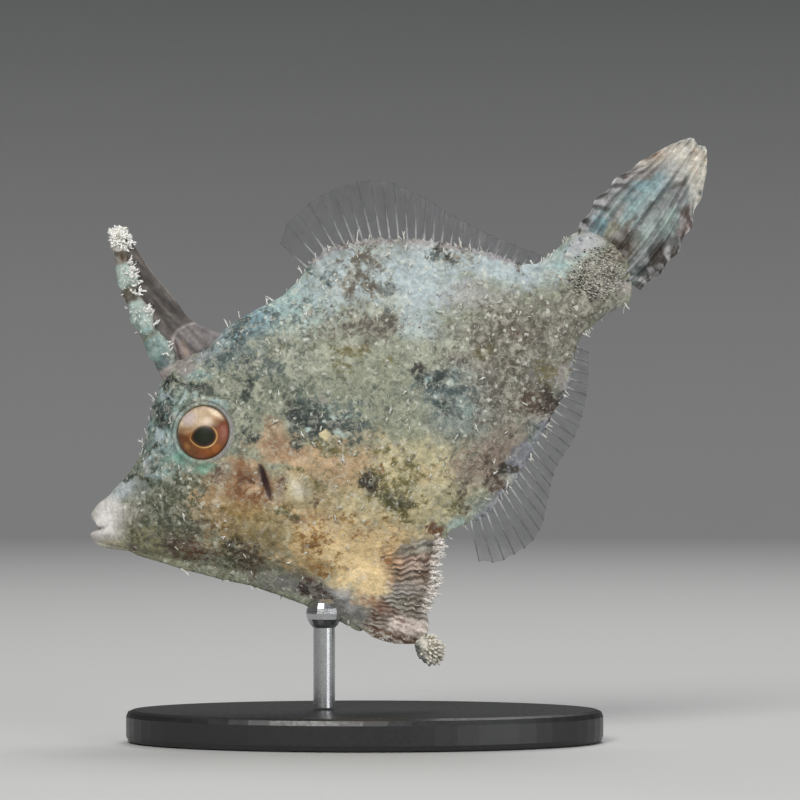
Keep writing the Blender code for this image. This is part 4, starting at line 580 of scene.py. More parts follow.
def to_line(x, z, start, end):
    """For places of the side view: how far square to a line, signed, and how far along it as a share."""
    run = np.array(end) - np.array(start)
    length = np.hypot(*run)
    along = ((x - start[0]) * run[0] + (z - start[1]) * run[1]) / length**2
    aside = ((x - start[0]) * run[1] - (z - start[1]) * run[0]) / length
    return aside, along


def grid_faces(rows, columns, closed=False, first=0):
    """The four corners of each face of a grid of points, row by row."""
    i, j = np.meshgrid(np.arange(rows - 1), np.arange(columns if closed else columns - 1), indexing="ij")
    after = (j + 1) % columns
    corners = [i * columns + j, i * columns + after, (i + 1) * columns + after, (i + 1) * columns + j]
    return np.stack(corners, axis=-1).reshape(-1, 4) + first


def make(name, points, faces, material, paint=None, masks=None, stain=None, patches=None, outwards=True):
    """A piece from points of the fish's frame, with its colours at them and its places in the bake map."""
    mesh = bpy.data.meshes.new(name)
    mesh.from_pydata(posed(points).tolist(), [], [list(face) for face in faces])
    if outwards:
        shape = bmesh.new()
        shape.from_mesh(mesh)
        bmesh.ops.recalc_face_normals(shape, faces=shape.faces)
        shape.to_mesh(mesh)
        shape.free()
    for layer, values in (("paint", paint), ("masks", masks), ("stain", stain)):
        if values is not None:
            colours = np.ones((len(points), 4), np.float32)
            colours[:, :3] = values
            attribute = mesh.color_attributes.new(name=layer, type="FLOAT_COLOR", domain="POINT")
            attribute.data.foreach_set("color", colours.ravel())
    if patches is not None:
        corners = np.zeros(len(mesh.loops), np.int32)
        mesh.loops.foreach_get("vertex_index", corners)
        layer = mesh.uv_layers.new(name="OFBake")
        layer.data.foreach_set("uv", np.asarray(patches, np.float32)[corners].ravel())
    mesh.materials.append(material)
    mesh.shade_smooth()
    obj = bpy.data.objects.new(name, mesh)
    bpy.context.scene.collection.objects.link(obj)
    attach(obj, "root")
    return obj


class Parts:
    """Closed forms joined in one mesh, with colours at each point and a patch of the bake map for each."""

    def __init__(self):
        self.points, self.faces, self.layers, self.patches = [], [], [], []
        self.count = 0

    def add(self, points, faces, colours, patches=None, masks=(0, 0, 0), stain=(0, 0, 0)):
        self.faces += [[corner + self.count for corner in face] for face in faces]
        self.points.append(points)
        layers = (np.asarray(layer, float) for layer in (colours, masks, stain))
        self.layers.append([np.broadcast_to(layer, points.shape) for layer in layers])
        self.patches.append(np.zeros((len(points), 2)) if patches is None else patches)
        self.count += len(points)

    def make(self, name, material, patched=True, **options):
        patches = np.concatenate(self.patches) if patched else None
        layers = [np.concatenate(layer) for layer in zip(*self.layers)]
        points = np.concatenate(self.points)
        return make(name, points, self.faces, material, *layers, patches=patches, **options)


def tube_faces(rings, sides):
    """The faces of a closed tube of rings of points."""
    faces = grid_faces(rings, sides, closed=True).tolist()
    faces.append(list(range(sides))[::-1])
    faces.append(list(range((rings - 1) * sides, rings * sides)))
    return faces


def tube_points(centres, radii, sides, flatness=1.0):
    """Rings square to a path near the middle plane. flatness is their width over their depth."""
    run = unit(np.gradient(centres, axis=0))
    fore = unit(np.cross(run, (0.0, 1.0, 0.0)))
    over = np.cross(fore, run)[:, None]
    angle = (2 * math.pi * np.arange(sides) / sides)[None, :, None]
    ring = np.cos(angle) * fore[:, None] + flatness * np.sin(angle) * over
    return (centres[:, None] + ring * radii[:, None, None]).reshape(-1, 3)


def ball_ways(rings, sides):
    """The directions of the points of a ball, ring by ring from pole to pole."""
    polar = np.linspace(0, math.pi, rings)[:, None]
    angle = (2 * math.pi * np.arange(sides) / sides)[None, :]
    ways = np.sin(polar) * np.cos(angle), np.sin(polar) * np.sin(angle), np.cos(polar) + 0 * angle
    return np.stack(ways, axis=-1).reshape(-1, 3)


def spiral_way(i, up):
    """The direction at a height from -1 to 1 on a ball, for the point of that number on a spiral down it."""
    level = math.sqrt(1 - up * up)
    return np.array([level * math.cos(i * GOLDEN_TURN), level * math.sin(i * GOLDEN_TURN), up])


def add_strand(coat, root, direction, length, radius, colours, patch, bend=(0, 0, 0), tip=0.2, rings=4):
    """A tapered strand from its root, a little sunk in. colours are those of its root and its tip."""
    sides = 4
    direction = unit(direction)
    across = unit(np.cross(direction, (0.36, 0.48, 0.8)))
    over = np.cross(direction, across)
    out = np.linspace(0, 1, rings)[:, None, None]
    angle = (2 * math.pi * np.arange(sides) / sides)[None, :, None]
    size = radius * (1 - (1 - tip) * out**1.2)
    centre = np.asarray(root) + direction * length * (out * 1.1 - 0.1) + np.asarray(bend) * length * out**2
    points = (centre + size * (np.cos(angle) * across + np.sin(angle) * over)).reshape(-1, 3)
    share = np.repeat(np.linspace(0, 1, rings), sides)
    turn = np.tile(np.arange(sides) / sides, rings)
    spot = np.column_stack([patch[0] + 0.003 * turn, patch[1] + 0.003 * share])
    coat.add(points, tube_faces(rings, sides), mixed(colours[0], colours[1], share), spot)


def add_cirrus(coat, root, normal, lie, length, colours, patch, draw, branches=2, width=None, tip=0.2):
    """A branching skin tassel that stands out and leans with the lie of the coat."""

    def any_way(reach):
        return np.array([draw.uniform(-reach, reach) for axis in range(3)])

    width = width or 0.06 + 0.07 * length
    way = unit(np.asarray(normal) * 0.8 + np.asarray(lie) * 0.8 + any_way(0.35))
    bend = any_way(0.25)
    add_strand(coat, root, way, length, width, colours, patch, bend, tip)
    for branch in range(branches):
        start = draw.uniform(0.3, 0.65)
        fork = np.asarray(root) + way * length * start + bend * length * start**2
        turn = unit(way + any_way(0.8))
        size = length * draw.uniform(0.3, 0.5)
        add_strand(coat, fork, turn, size, width * 0.75, (colours[1], colours[1]), patch, (0, 0, 0), tip, 3)


def in_mark(x, z, place, sizes, tilt):
    """How far places lie from a mark's middle, as a share of the way to its edge."""
    turn = math.radians(tilt)
    dx, dz = x - place[0], z - place[1]
    along = (dx * math.cos(turn) + dz * math.sin(turn)) / sizes[0]
    across = (dz * math.cos(turn) - dx * math.sin(turn)) / sizes[1]
    return np.hypot(along, across)


def skin_paint(points):
    """The skin's colour at points of the fish's frame, its masks and the colour of its stains."""
    points = np.asarray(points, float).reshape(-1, 3)
    x = points[:, 0] + 0.9 * cloud(points, 5.0, 31) + 0.4 * cloud(points, 1.3, 33)
    z = points[:, 2] + 0.9 * cloud(points, 5.0, 35) + 0.4 * cloud(points, 1.3, 37)
    calm = rise(points[:, 0], 5.0, 9.0)
    x, z = mixed_to(x, points[:, 0], 0.7 * calm), mixed_to(z, points[:, 2], 0.7 * calm)
    ragged = 1 + 0.25 * cloud(points, 1.1, 39) * (1 - 0.8 * calm)
    frayed = cloud(points, 0.62, 43) * (1 - 0.8 * calm)
    colour = np.broadcast_to(linear("sage"), points.shape).copy()
    masks = np.broadcast_to(np.array((0.0, *COLOURS["sage"][3:])), points.shape).copy()
    stain = np.broadcast_to(linear("moss"), points.shape).copy()
    for name, mark_x, mark_z, length, height, tilt, strength in MARKS:
        near = np.hypot(x - mark_x, z - mark_z) < 2.2 * max(length, height)
        distance = in_mark(x[near], z[near], (mark_x, mark_z), (length, height), tilt) * ragged[near]
        share = strength * rise(distance + 0.3 * frayed[near], 0.3, 1.4)
        if name in STAINS:
            share = 0.85 * strength * rise(distance, 0.1, 1.6)
            covered = masks[near, 0] + np.clip(1.05 - masks[near, 0], 0, None) * share
            stain[near] = tinted(stain[near], name, np.clip(share / np.maximum(covered, 0.01), 0, 1))
            masks[near, 0] = covered
        else:
            colour[near] = tinted(colour[near], name, share)
            masks[near] = mixed(masks[near], np.array((0.0, *COLOURS[name][3:])), share)
    for fin in SOFT_FINS:
        depth = (points[:, 2] - fin.outline(points[:, 0])) * fin.inward
        from_middle = np.abs((points[:, 0] - fin.start) / (fin.end - fin.start) - 0.5)
        pale = rise(-cloud(points, 1.0, 47), -0.5, -0.1)
        base = tinted(linear(fin.base), (190, 188, 190), 0.6 * pale)
        colour = mixed(colour, base, 0.65 * rise(depth, 0.3, 1.3) * rise(from_middle, 0.46, 0.52))
    aside, along = to_line(points[:, 0], points[:, 2], GILL_TOP, GILL_FOOT)
    half = GILL_HALF * np.clip(1 - (2 * along - 1) ** 2, 0.001, 1) ** 0.7
    # The slit itself is painted dark purple-brown: painted shade in the gill opening
    slit_shade = 0.9 * rise(np.abs(aside) / half, 0.4, 1.5)
    colour = tinted(colour, (96, 56, 48), 0.6 * rise(np.abs(aside) / half, 1.2, 2.6) * (half > 0.1))
    colour = tinted(colour, (58, 38, 42), slit_shade)
    masks = mixed(masks, np.zeros(3), slit_shade)
    return colour, masks, stain


def eye_frame(side):
    """The middle of the eye on the skin, and its directions towards the tail, up and out."""
    place = skin_point(*np.array(EYE_PLACE), side)
    out = skin_normal(*np.array(EYE_PLACE), side)
    along = unit(np.array([1.0, 0.0, 0.0]) - out * out[0])
    return place, along, np.cross(out, along) * -side, out


def orbit_height(distance):
    """How far the ring of skin round the eye stands out, by the distance from the eye's middle."""
    ring = 0.26 * bump(distance - ORBIT_RING, 0.36) - 0.1 * bump(distance - ORBIT_MOAT, 0.35)
    return ring - 1.7 * rise(distance, ORBIT_INNER, 3.85)


def open_mouth(points):
    """Sets the upper lip out at its tip and back below it, which leaves the notch of the mouth open."""
    x, z = points[..., 0], points[..., 2]
    front = UPPER_LIP_FRONT + 0.1 * (z + 0.8) * (z < 0.4)
    above = rise(LOWER_LIP_TOP - z, -0.2, 0.08)
    opened = points.copy()
    opened[..., 0] = x + np.clip(front - x, 0, None) * above * rise(z, 0.2, 1.0)
    opened[..., 0] -= 0.34 * bump(np.hypot(x - 0.75, z - 1.45), 0.62)
    opened[..., 2] -= 0.12 * bump(np.hypot(x - 0.75, z - 1.3), 0.7)
    return opened


def mouth_relief(x, z):
    """The lips, the line of the mouth between them, their fine wrinkles and the fold behind them."""
    aside, along = to_line(x, z, MOUTH_FRONT, MOUTH_CORNER)
    lips = 0.22 * bump(np.abs(aside) - 0.75, 0.6) * rise(along, 0.3, 1.3)
    cleft = 0.6 * bump(aside, 0.2) * rise(along, 0.0, 0.85) + 0.06 * bump(aside, 0.3) * rise(along, 0.6, 1.6)
    level = levelled(x, z)[0]
    wrinkles = 0.02 * np.sin(level * 9.0 + 1.5 * np.sin(z * 1.3)) * rise(np.abs(aside), 1.5, 3.4)
    behind = 0.2 * bump(in_mark(x, z, *LIP_FOLD) - 1, 0.16) * rise(-x, -3.0, -1.5)
    return lips - cleft + wrinkles * rise(-along, -0.5, 0.0) - behind


def skin_relief(points):
    """How far the real skin stands out from the smooth body, apart from the ring round the eye."""
    x, y, z = points.T
    side = np.where(y < 0, -1, 1)
    on_flank = 1 - bump(y, 0.45)
    calm = rise(x, 2.0, 8.0)
    height = 0.24 * noise_field(points, 7.0, 1) + 0.13 * noise_field(points, 2.7, 2)
    height += 0.06 * cloud(points, 0.9, 3)
    height *= 1 - 0.8 * calm
    distance, number = cell_field(x + side * 31.7, z, 1.15, 11)
    height += 0.2 * number**2 * bump(distance, 0.3) * on_flank * (1 - calm)
    distance, number = cell_field(x - side * 23.1, z, 0.62, 12)
    height += 0.07 * number * bump(distance, 0.2) * on_flank * (1 - 0.7 * calm)
    height += mouth_relief(x, z) * rise(x, 4.5, 7.5)
    for place in NOSTRILS:
        away = np.hypot(x - place[0], z - place[1])
        height += 0.2 * bump(away - 0.45, 0.15) - 0.8 * rise(away, 0.1, 0.38)
    for start, end, depth, width in HEAD_CREASES:
        aside, along = to_line(x, z, start, end)
        height -= depth * bump(aside, width) * rise(np.abs(along - 0.5), 0.15, 0.7)
    aside, along = to_line(x, z, GILL_TOP, GILL_FOOT)
    open_part = np.clip(1 - (2 * along - 1) ** 2, 0, 1)
    height += 0.22 * bump(aside + 0.65, 0.35) * open_part - 0.9 * bump(aside, 0.3) * open_part
    disc = in_mark(x, z, *PECTORAL_DISC)
    height += 0.45 * rise(disc, 0.45, 1.0) - 0.22 * bump(disc - 1.15, 0.16)
    for fin in SOFT_FINS:
        share = np.clip((x - fin.start) / (fin.end - fin.start), 0, 1) ** (1 / fin.crowding)
        between = 0.5 - 0.5 * np.cos(2 * math.pi * (fin.rays - 1) * share)
        height += fin.bumps * between * bump(fin.outline(x) - z, fin.reach) * (share > 0) * (share < 1)
    return height - SKIN_SUNK


def skin_ring(x, around):
    """Points of the smooth body's section at x, from the back (0) down the left side, round and up (1)."""
    split = 0.46
    down = np.where(around < 0.5, 2 * around, 2 - 2 * around)
    upper = 1 - np.clip(down / split, 0, 1)
    lower = np.clip((down - split) / (1 - split), 0, 1)
    middle, top, bottom = widest(x), back(x), belly_edge(x)
    z = middle + (top - middle) * (1 - (1 - upper) ** 1.4) + (bottom - middle) * (1 - (1 - lower) ** 1.4)
    return skin_point(x, z, np.where(around < 0.5, -1.0, 1.0))


def on_unwrap(points):
    """Places of the bake map for points on the body: along it, and round it from the back."""
    x, y, z = np.asarray(points, float).reshape(-1, 3).T
    down = np.clip((back(x) - z) / np.maximum(back(x) - belly_edge(x), 0.1), 0, 1)
    around = np.where(y < 0, down / 2, 1 - down / 2)
    return np.column_stack([0.02 + 0.93 * np.clip((x + 1) / 84, 0, 1), 0.02 + 0.93 * around])


def build_skin(material):
    """One skin over the jaws, head, body and tail stem, with a finer ring round each eye."""
    x = np.unique(np.concatenate([np.arange(*stretch) for stretch in SKIN_STATIONS]).round(4))
    around = np.arange(SKIN_COLUMNS) / SKIN_COLUMNS
    grid = open_mouth(skin_ring(x[:, None], around[None, :]))
    rows, columns = grid.shape[:2]
    down_the_ring = np.roll(grid, -1, axis=1) - np.roll(grid, 1, axis=1)
    normals = unit(np.cross(down_the_ring, np.gradient(grid, axis=0)))
    points, normals = grid.reshape(-1, 3), normals.reshape(-1, 3)
    height = skin_relief(points)
    for side in (1, -1):
        place, along, up, _ = eye_frame(side)
        away = points - place
        distance = np.hypot(away @ along, away @ up) + 50 * (points[:, 1] * side < 0)
        height += orbit_height(np.maximum(distance, 4.9)) - 0.5 * rise(distance, 4.7, 5.5)
        height -= 1.6 * rise(distance, 3.2, 3.7)
    points = points + normals * height[:, None]
    ends = [points[:columns].mean(axis=0), points[-columns:].mean(axis=0)]
    faces = grid_faces(rows, columns, closed=True).tolist()
    first, last = rows * columns, rows * columns + 1
    for j in range(columns):
        after = (j + 1) % columns
        faces.append([first, after, j])
        faces.append([last, (rows - 1) * columns + j, (rows - 1) * columns + after])
    skin = Parts()
    points = np.vstack([points, ends])
    colour, masks, stain = skin_paint(points)
    skin.add(points, faces, colour, masks=masks, stain=stain)
    for side in (1, -1):
        add_orbit(skin, side)
    piece = skin.make("skin", material, patched=False, outwards=False)
    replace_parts(piece, "upper_jaw", "lower_jaw", "head", "torso", "tail_stem")


def add_orbit(skin, side):
    """The ring of skin round an eye, as a closed band of its own whose foot lies in the skin."""
    place, along, up, _ = eye_frame(side)
    rows, columns = ORBIT_RINGS, ORBIT_SPOKES
    reach = np.repeat(np.linspace(ORBIT_INNER, ORBIT_OUTER, rows), columns)
    angle = np.tile(2 * math.pi * np.arange(columns) / columns, rows)
    flat = place + (reach * np.cos(angle))[:, None] * along + (reach * np.sin(angle))[:, None] * up
    x, z = flat[:, 0], flat[:, 2]
    smooth_skin, normals = skin_point(x, z, side), skin_normal(x, z, side)
    spokes = 0.03 * np.sin(angle * 34) * bump(reach - 4.5, 0.6)
    height = skin_relief(smooth_skin) * rise(-reach, -5.0, -3.9) + orbit_height(reach) + spokes
    height -= 0.06 * rise(-reach, -ORBIT_OUTER, -5.6)
    top = smooth_skin + normals * height[:, None]
    foot = smooth_skin + normals * (np.minimum(height, 0) - 0.9)[:, None]
    count, last = rows * columns, (rows - 1) * columns
    faces = grid_faces(rows, columns, closed=True).tolist()
    faces += grid_faces(rows, columns, closed=True, first=count)[:, ::-1].tolist()
    for j in range(columns):
        after = (j + 1) % columns
        faces.append([after, j, count + j, count + after])
        faces.append([last + j, last + after, count + last + after, count + last + j])
    if side < 0:
        faces = [face[::-1] for face in faces]
    points = np.vstack([top, foot])
    colour, masks, stain = skin_paint(points)
    reach, turn = np.tile(reach, 2), np.tile(angle + PITCH, 2)
    rim = rise(np.abs(reach - ORBIT_RING), 0.15, 0.5) * (0.1 + 0.75 * rise(-np.cos(turn + 0.1), -0.8, 0.0))
    colour = tinted(colour, (142, 138, 138), rim)
    shadow = bump(reach - 4.3, 0.18) * rise(-np.sin(turn - 0.35), -0.7, 0.1)
    colour = tinted(colour, (54, 62, 58), 0.75 * shadow)
    inner = tinted(linear((128, 116, 102)), (84, 66, 56), rise(np.sin(turn - 0.5), -0.4, 0.4))
    colour = mixed(colour, inner, rise(reach, 3.66, 3.86))
    masks = mixed(masks, np.zeros(3), np.clip(1.4 * rim + rise(reach, 3.6, 4.0), 0, 1))
    skin.add(points, faces, colour, masks=masks, stain=stain)


def with_patches(colour, patches, x, z, blotch, far):
    """Colours with a list of soft patches mixed in, their edges broken up by a blotchy noise."""
    for shade, place, sizes, tilt, strength in patches:
        colour = tinted(colour, shade, strength * rise(in_mark(x, z, place, sizes, tilt) + blotch, 0.2, far))
    return colour


def eye_paint(u, v):
    """The eye's colours, by how far a place lies towards the tail and up from its middle, in its radii."""
    across, up = levelled(u, v)
    distance = np.hypot(u, v)
    fibres = noise_field(np.column_stack([np.arctan2(up, across) * 9, distance * 3, 0 * u]), 0.5, 51)
    blotch = cloud(np.column_stack([across, up, 0 * u]), 0.35, 52)
    blotched = np.clip(0.5 + 0.9 * blotch, 0, 1)
    iris = tinted(linear((90, 54, 26)), (124, 76, 38), blotched)
    colour = with_patches(iris, EYE_PATCHES, across, up, 0.2 * blotch, 1.15)
    lid_and_painted_light = tinted(linear((190, 164, 132)), (214, 196, 168), blotched)
    # The pale upper part's patches include a painted reflection, a painted highlight band and painted shade at
    # its top edge
    lid_and_painted_light = with_patches(lid_and_painted_light, LID_PATCHES_AND_PAINTED_LIGHT, across, up, 0.15 * blotch, 1.2)
    lid_line = np.interp(across, *zip(*LID_LINE)) + 0.16 * blotch
    colour = mixed(colour, lid_and_painted_light, rise(lid_line - up, -0.24, 0.2))
    colour = colour * (1 + 0.18 * fibres + 0.12 * blotch)[:, None]
    pupil = in_mark(across, up, *PUPIL) - 0.16 * bump(np.hypot(across + 0.36, up + 0.24), 0.16)
    below = rise(up + 0.17 - 0.35 * across, -0.05, 0.3)
    bright = rise(np.abs(across - 0.3), 0.1, 0.35) * below * bump(pupil - 1.2, 0.05)
    for shade, share in (
        ((206, 156, 92), below * bump(pupil - 1.2, 0.07) * 0.95),
        ((238, 202, 148), bright * 0.7),
        ((44, 28, 8), bump(pupil - 1.02, 0.12) * 0.9),
        ((20, 22, 10), rise(pupil, 0.88, 1.02)),
        ((30, 38, 16), rise(pupil, 0.3, 0.9) * 0.7),
        ((92, 60, 52), rise(-distance, -0.98, -0.9) * rise(-across, -0.7, 0.1) * 0.7),
        ((66, 60, 56), rise(-distance, -1.0, -0.95) * 0.4),
    ):
        colour = tinted(colour, shade, share)
    return colour


def build_eye(name, side, material):
    """One eyeball, set in its socket, with the iris and pupil on its domed front."""
    place, along, up, out = eye_frame(side)
    u, v, w = ball_ways(EYE_RINGS, EYE_SIDES).T
    front = (np.outer(u, along) + np.outer(v, up)) * EYE_RADIUS
    points = place - out * EYE_SUNK + front + np.outer(w, out) * EYE_DEPTH
    eye = make(name, points, tube_faces(EYE_RINGS, EYE_SIDES), material, eye_paint(u, v), outwards=False)
    clean_poles(eye)
    return eye


def clean_poles(obj):
    """Merges the points that meet at the two poles of a round piece, and turns its faces outwards."""
    shape = bmesh.new()
    shape.from_mesh(obj.data)
    bmesh.ops.remove_doubles(shape, verts=shape.verts, dist=1e-6)
    bmesh.ops.recalc_face_normals(shape, faces=shape.faces)
    shape.to_mesh(obj.data)
    shape.free()


def blade(middle, halves):
    """The points and faces of a thin closed form about a grid of middle points, thick along y."""
    rows, columns = middle.shape[:2]
    offset = in_plane(0 * middle[..., 0], 0 * middle[..., 0], halves)
    points = np.concatenate([(middle + offset).reshape(-1, 3), (middle - offset).reshape(-1, 3)])
    count = rows * columns
    faces = grid_faces(rows, columns).tolist() + grid_faces(rows, columns, first=count)[:, ::-1].tolist()
    rim = list(range(columns))
    rim += [i * columns + columns - 1 for i in range(1, rows)]
    rim += [(rows - 1) * columns + j for j in range(columns - 2, -1, -1)]
    rim += [i * columns for i in range(rows - 2, 0, -1)]
    for a, b in zip(rim, rim[1:] + rim[:1]):
        faces.append([b, a, a + count, b + count])
    return points, faces


def build_soft_fin(fin, materials):
    """A fin along the back or belly: a clear membrane and the rays that carry it."""
    edge = path_through(fin.margin)

    def root(share):
        x = fin.start + (fin.end - fin.start) * share
        return np.stack([x, fin.outline(x) + fin.inward * FIN_SUNK], axis=-1)

    def sway(x, z, out):
        return 0.35 * np.sin(x * 0.55 + z * 0.25) * out**2

    count = np.linspace(0, fin.rays - 1, (fin.rays - 1) * FIN_STEP + 1)
    shares = (count / (fin.rays - 1)) ** fin.crowding
    roots, edges = root(shares), edge(shares)
    out = np.linspace(0, 1, 26)[:, None]
    notch = 0.16 * np.abs(np.sin(math.pi * count)) / np.linalg.norm(edges - roots, axis=1)
    places = roots + (edges - roots) * (out * (1 - notch))[..., None]
    x, z = places[..., 0], places[..., 1]
    ripple = 0.16 * np.sin(math.pi * count) * out**0.5
    points, faces = blade(in_plane(x, z, sway(x, z, out) + ripple), np.full(x.shape, 0.05))
    dusk = np.tile((1 - 0.5 * out + 0 * x).ravel(), 2)
    paint = tinted(linear((66, 66, 72)), (128, 128, 132), dusk * 0.6)
    membrane = make(f"{fin.name}_membrane", points, faces, materials["membrane"], paint)
    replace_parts(membrane, fin.node)
    bones = Parts()
    out = np.linspace(0, 1, 14)
    colour = tinted(linear((186, 188, 186)), (112, 112, 114), np.repeat(rise(-out, -0.75, -0.1), 8))
    for i in range(fin.rays):
        share = (i / (fin.rays - 1)) ** fin.crowding
        x, z = (root(share) + (edge(share) - root(share)) * out[:, None]).T
        points = tube_points(in_plane(x, z, sway(x, z, out)), 0.2 - 0.13 * out, 8)
        bones.add(points, tube_faces(14, 8), colour)
    bones = bones.make(f"{fin.name}_rays", materials["ray"], patched=False)


def spine_bands(share):
    """The colours of the dorsal spine, from its root to its tip."""
    places, names = zip(*SPINE_BANDS)
    colours = np.array([linear(name) for name in names])
    return np.stack([np.interp(share, places, channel) for channel in colours.T], axis=-1)


def build_spine(materials):
    """The first dorsal spine: a knobbly banded shaft."""
    out = np.linspace(0, 1, SPINE_RINGS)
    x, z, half = path_through(SPINE_PATH)(out).T
    swell = sum(size * bump(out - place, 0.05) for place, size in SPINE_SWELLINGS)
    points = tube_points(in_plane(x, z), half + swell, SPINE_SIDES, SPINE_FLATNESS)
    share = np.repeat(out, SPINE_SIDES)
    outward = unit(points - np.repeat(in_plane(x, z), SPINE_SIDES, axis=0))
    turn = np.arctan2(outward[:, 1], outward[:, 0])
    distance, number = cell_field(points[:, 2], turn * 1.5, 0.8, 61)
    knobs = 0.16 * number * bump(distance, 0.28) + 0.2 * cloud(points, 1.3, 62)
    knobs += 0.3 * noise_field(points, 2.6, 65)
    tip = rise(-share, -0.9, -0.84)
    points = points + outward * (knobs * (1 + 2.2 * tip) - 0.12 * tip - 0.05)[:, None]
    patchy = share + 0.018 * cloud(points, 1.6, 63)
    colour = spine_bands(patchy) * (1 + 0.22 * cloud(points, 0.9, 64))[:, None]
    band = bump(patchy - 0.825, 0.04)
    colour = tinted(colour, (76, 56, 38), band * bump(outward[:, 0] - 0.2, 0.45))
    colour = tinted(colour, (126, 108, 90), band * rise(-outward[:, 0], -0.95, -0.7))
    rear = rise(-outward[:, 0], -0.9, -0.35) * rise(np.abs(patchy - 0.45), 0.3, 0.34)
    colour = tinted(colour, (206, 208, 196), 0.6 * rear * np.clip(0.4 + cloud(points, 1.2, 66), 0, 1))
    masks = np.column_stack([0 * share, 0.2 * rise(share, 0.5, 0.8), 0.3 + 0 * share])
    faces = tube_faces(SPINE_RINGS, SPINE_SIDES)
    shaft = make("spine_shaft", points, faces, materials["skin"], colour, masks)
    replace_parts(shaft, "dorsal_spine")


def build_spine_tufts(materials):
    """The clumps of white tufts down the rear of the first dorsal spine and round its tip."""
    path, coat, draw = path_through(SPINE_PATH), Parts(), random.Random(6)
    colours = linear((246, 244, 238)), linear((255, 254, 250))

    def tuft(share, angle, length, width, lie, branches):
        x, z, half = path(share)
        outward = np.array([-math.cos(angle), math.sin(angle) * SPINE_FLATNESS, 0.0])
        root = np.array([x, 0, z]) + outward * half * 0.98
        patch = (0.05 + 0.9 * share, (angle / (2 * math.pi)) % 1 * 0.9 + 0.05)
        add_cirrus(coat, root, outward, lie, length, colours, patch, draw, branches, width, 0.3)

    for middle, spread, number in SPINE_CLUMPS:
        for strand in range(number):
            share = middle + draw.uniform(-spread, spread)
            angle = draw.gauss(math.pi, 0.85)
            lie = (0.2, 0, draw.uniform(-0.7, 0.9))
            tuft(share, angle, draw.uniform(0.4, 0.95), draw.uniform(0.1, 0.18), lie, 3)
    for strand in range(50):
        share, angle = draw.uniform(0.18, 0.78), draw.uniform(0, 2 * math.pi)
        tuft(share, angle, draw.uniform(0.2, 0.4), 0.08, (0.1, 0, -0.2), 1)
    for i in range(230):
        place, aft, radii = (0.93, 0.15, SPINE_TIP) if i % 4 else (0.885, 0.9, SPINE_LOBE)
        outward = spiral_way(i, draw.uniform(-1, 1))
        x, z, half = path(place)
        root = np.array([x + aft, 0, z]) + outward * np.array(radii)
        length, width = draw.uniform(0.35, 1.0), draw.uniform(0.12, 0.22)
        patch = (0.96, 0.004 * i + 0.02)
        add_cirrus(coat, root, outward, (0, 0, 0.25), length, colours, patch, draw, 3, width, 0.3)
    tufts = coat.make("spine_tufts", materials["cirri"])


def build_web(materials):
    """The thin dusky web behind the spine, with the second spine as a ridge and a pale sac at its foot."""
    out, across = np.linspace(0, 1, WEB_ROWS), np.linspace(0, 1, WEB_COLUMNS)
    low = np.clip(out - 0.75, 0, 1)
    fore = path_through(SPINE_PATH)(0.93 - 0.81 * out)[:, :2] + np.column_stack([low * 8, -low * 4])
    aft = path_through(WEB_EDGE)(out) - np.column_stack([0 * out, 1.3 * out])
    x, z = np.moveaxis(fore[:, None] + (aft - fore)[:, None] * across[None, :, None], -1, 0)
    folds = np.sin(x * 3.1 + z * 0.9 + 1.8 * cloud(in_plane(x, z), 4.0, 71))
    crumple = cloud(in_plane(x, z), 1.4, 72)
    aside, along = to_line(x, z, *SECOND_SPINE)
    ridge = 0.34 * bump(aside, 0.3) * rise(np.abs(along - 0.5), 0.35, 0.6)
    in_sac = in_mark(x, z, *WEB_SAC)
    edge = bump(across - 1, 0.03) + 0 * x
    middle = in_plane(x, z, (0.2 * folds + 0.2 * crumple) * np.sin(math.pi * across))
    points, faces = blade(middle, 0.13 + ridge + 0.75 * rise(in_sac, 0.3, 1.0) + 0.05 * edge)
    streaks = np.clip(0.5 + 0.5 * folds + 0.7 * crumple, 0, 1)
    fine = np.clip(0.5 + 1.2 * cloud(in_plane(x * 2.4 + z * 0.6, z * 0.35), 1.0, 73), 0, 1)
    paint = tinted(linear((54, 50, 48)), (112, 104, 99), 0.6 * streaks + 0.4 * fine)
    paint = tinted(paint, (118, 112, 108), 0.7 * rise(-out, -0.95, -0.5)[:, None])
    sac = tinted(linear((112, 106, 106)), (150, 143, 142), np.clip(0.5 + 0.8 * crumple, 0, 1))
    paint = mixed(paint, sac, 0.9 * rise(in_sac, 0.75, 1.02))
    on_spine = rise(np.abs(along - 0.55), 0.3, 0.5)
    for shade, share in (
        ((182, 172, 170), 0.7 * bump(in_sac - 0.98, 0.07) * (z > WEB_SAC[0][1] - 0.6)),
        ((168, 150, 138), 0.8 * rise(np.abs(aside + 0.75), 0.2, 0.7) * on_spine),
        ((86, 50, 44), 0.75 * bump(aside - 0.12, 0.16) * rise(np.abs(along - 0.5), 0.3, 0.5)),
        ((186, 180, 174), 0.6 * edge * rise(np.abs(out - 0.3), 0.1, 0.3)[:, None]),
    ):
        paint = tinted(paint, shade, share)
    web = make("web_skin", points, faces, materials["web"], np.vstack([paint.reshape(-1, 3)] * 2))
    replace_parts(web, "spine_web")


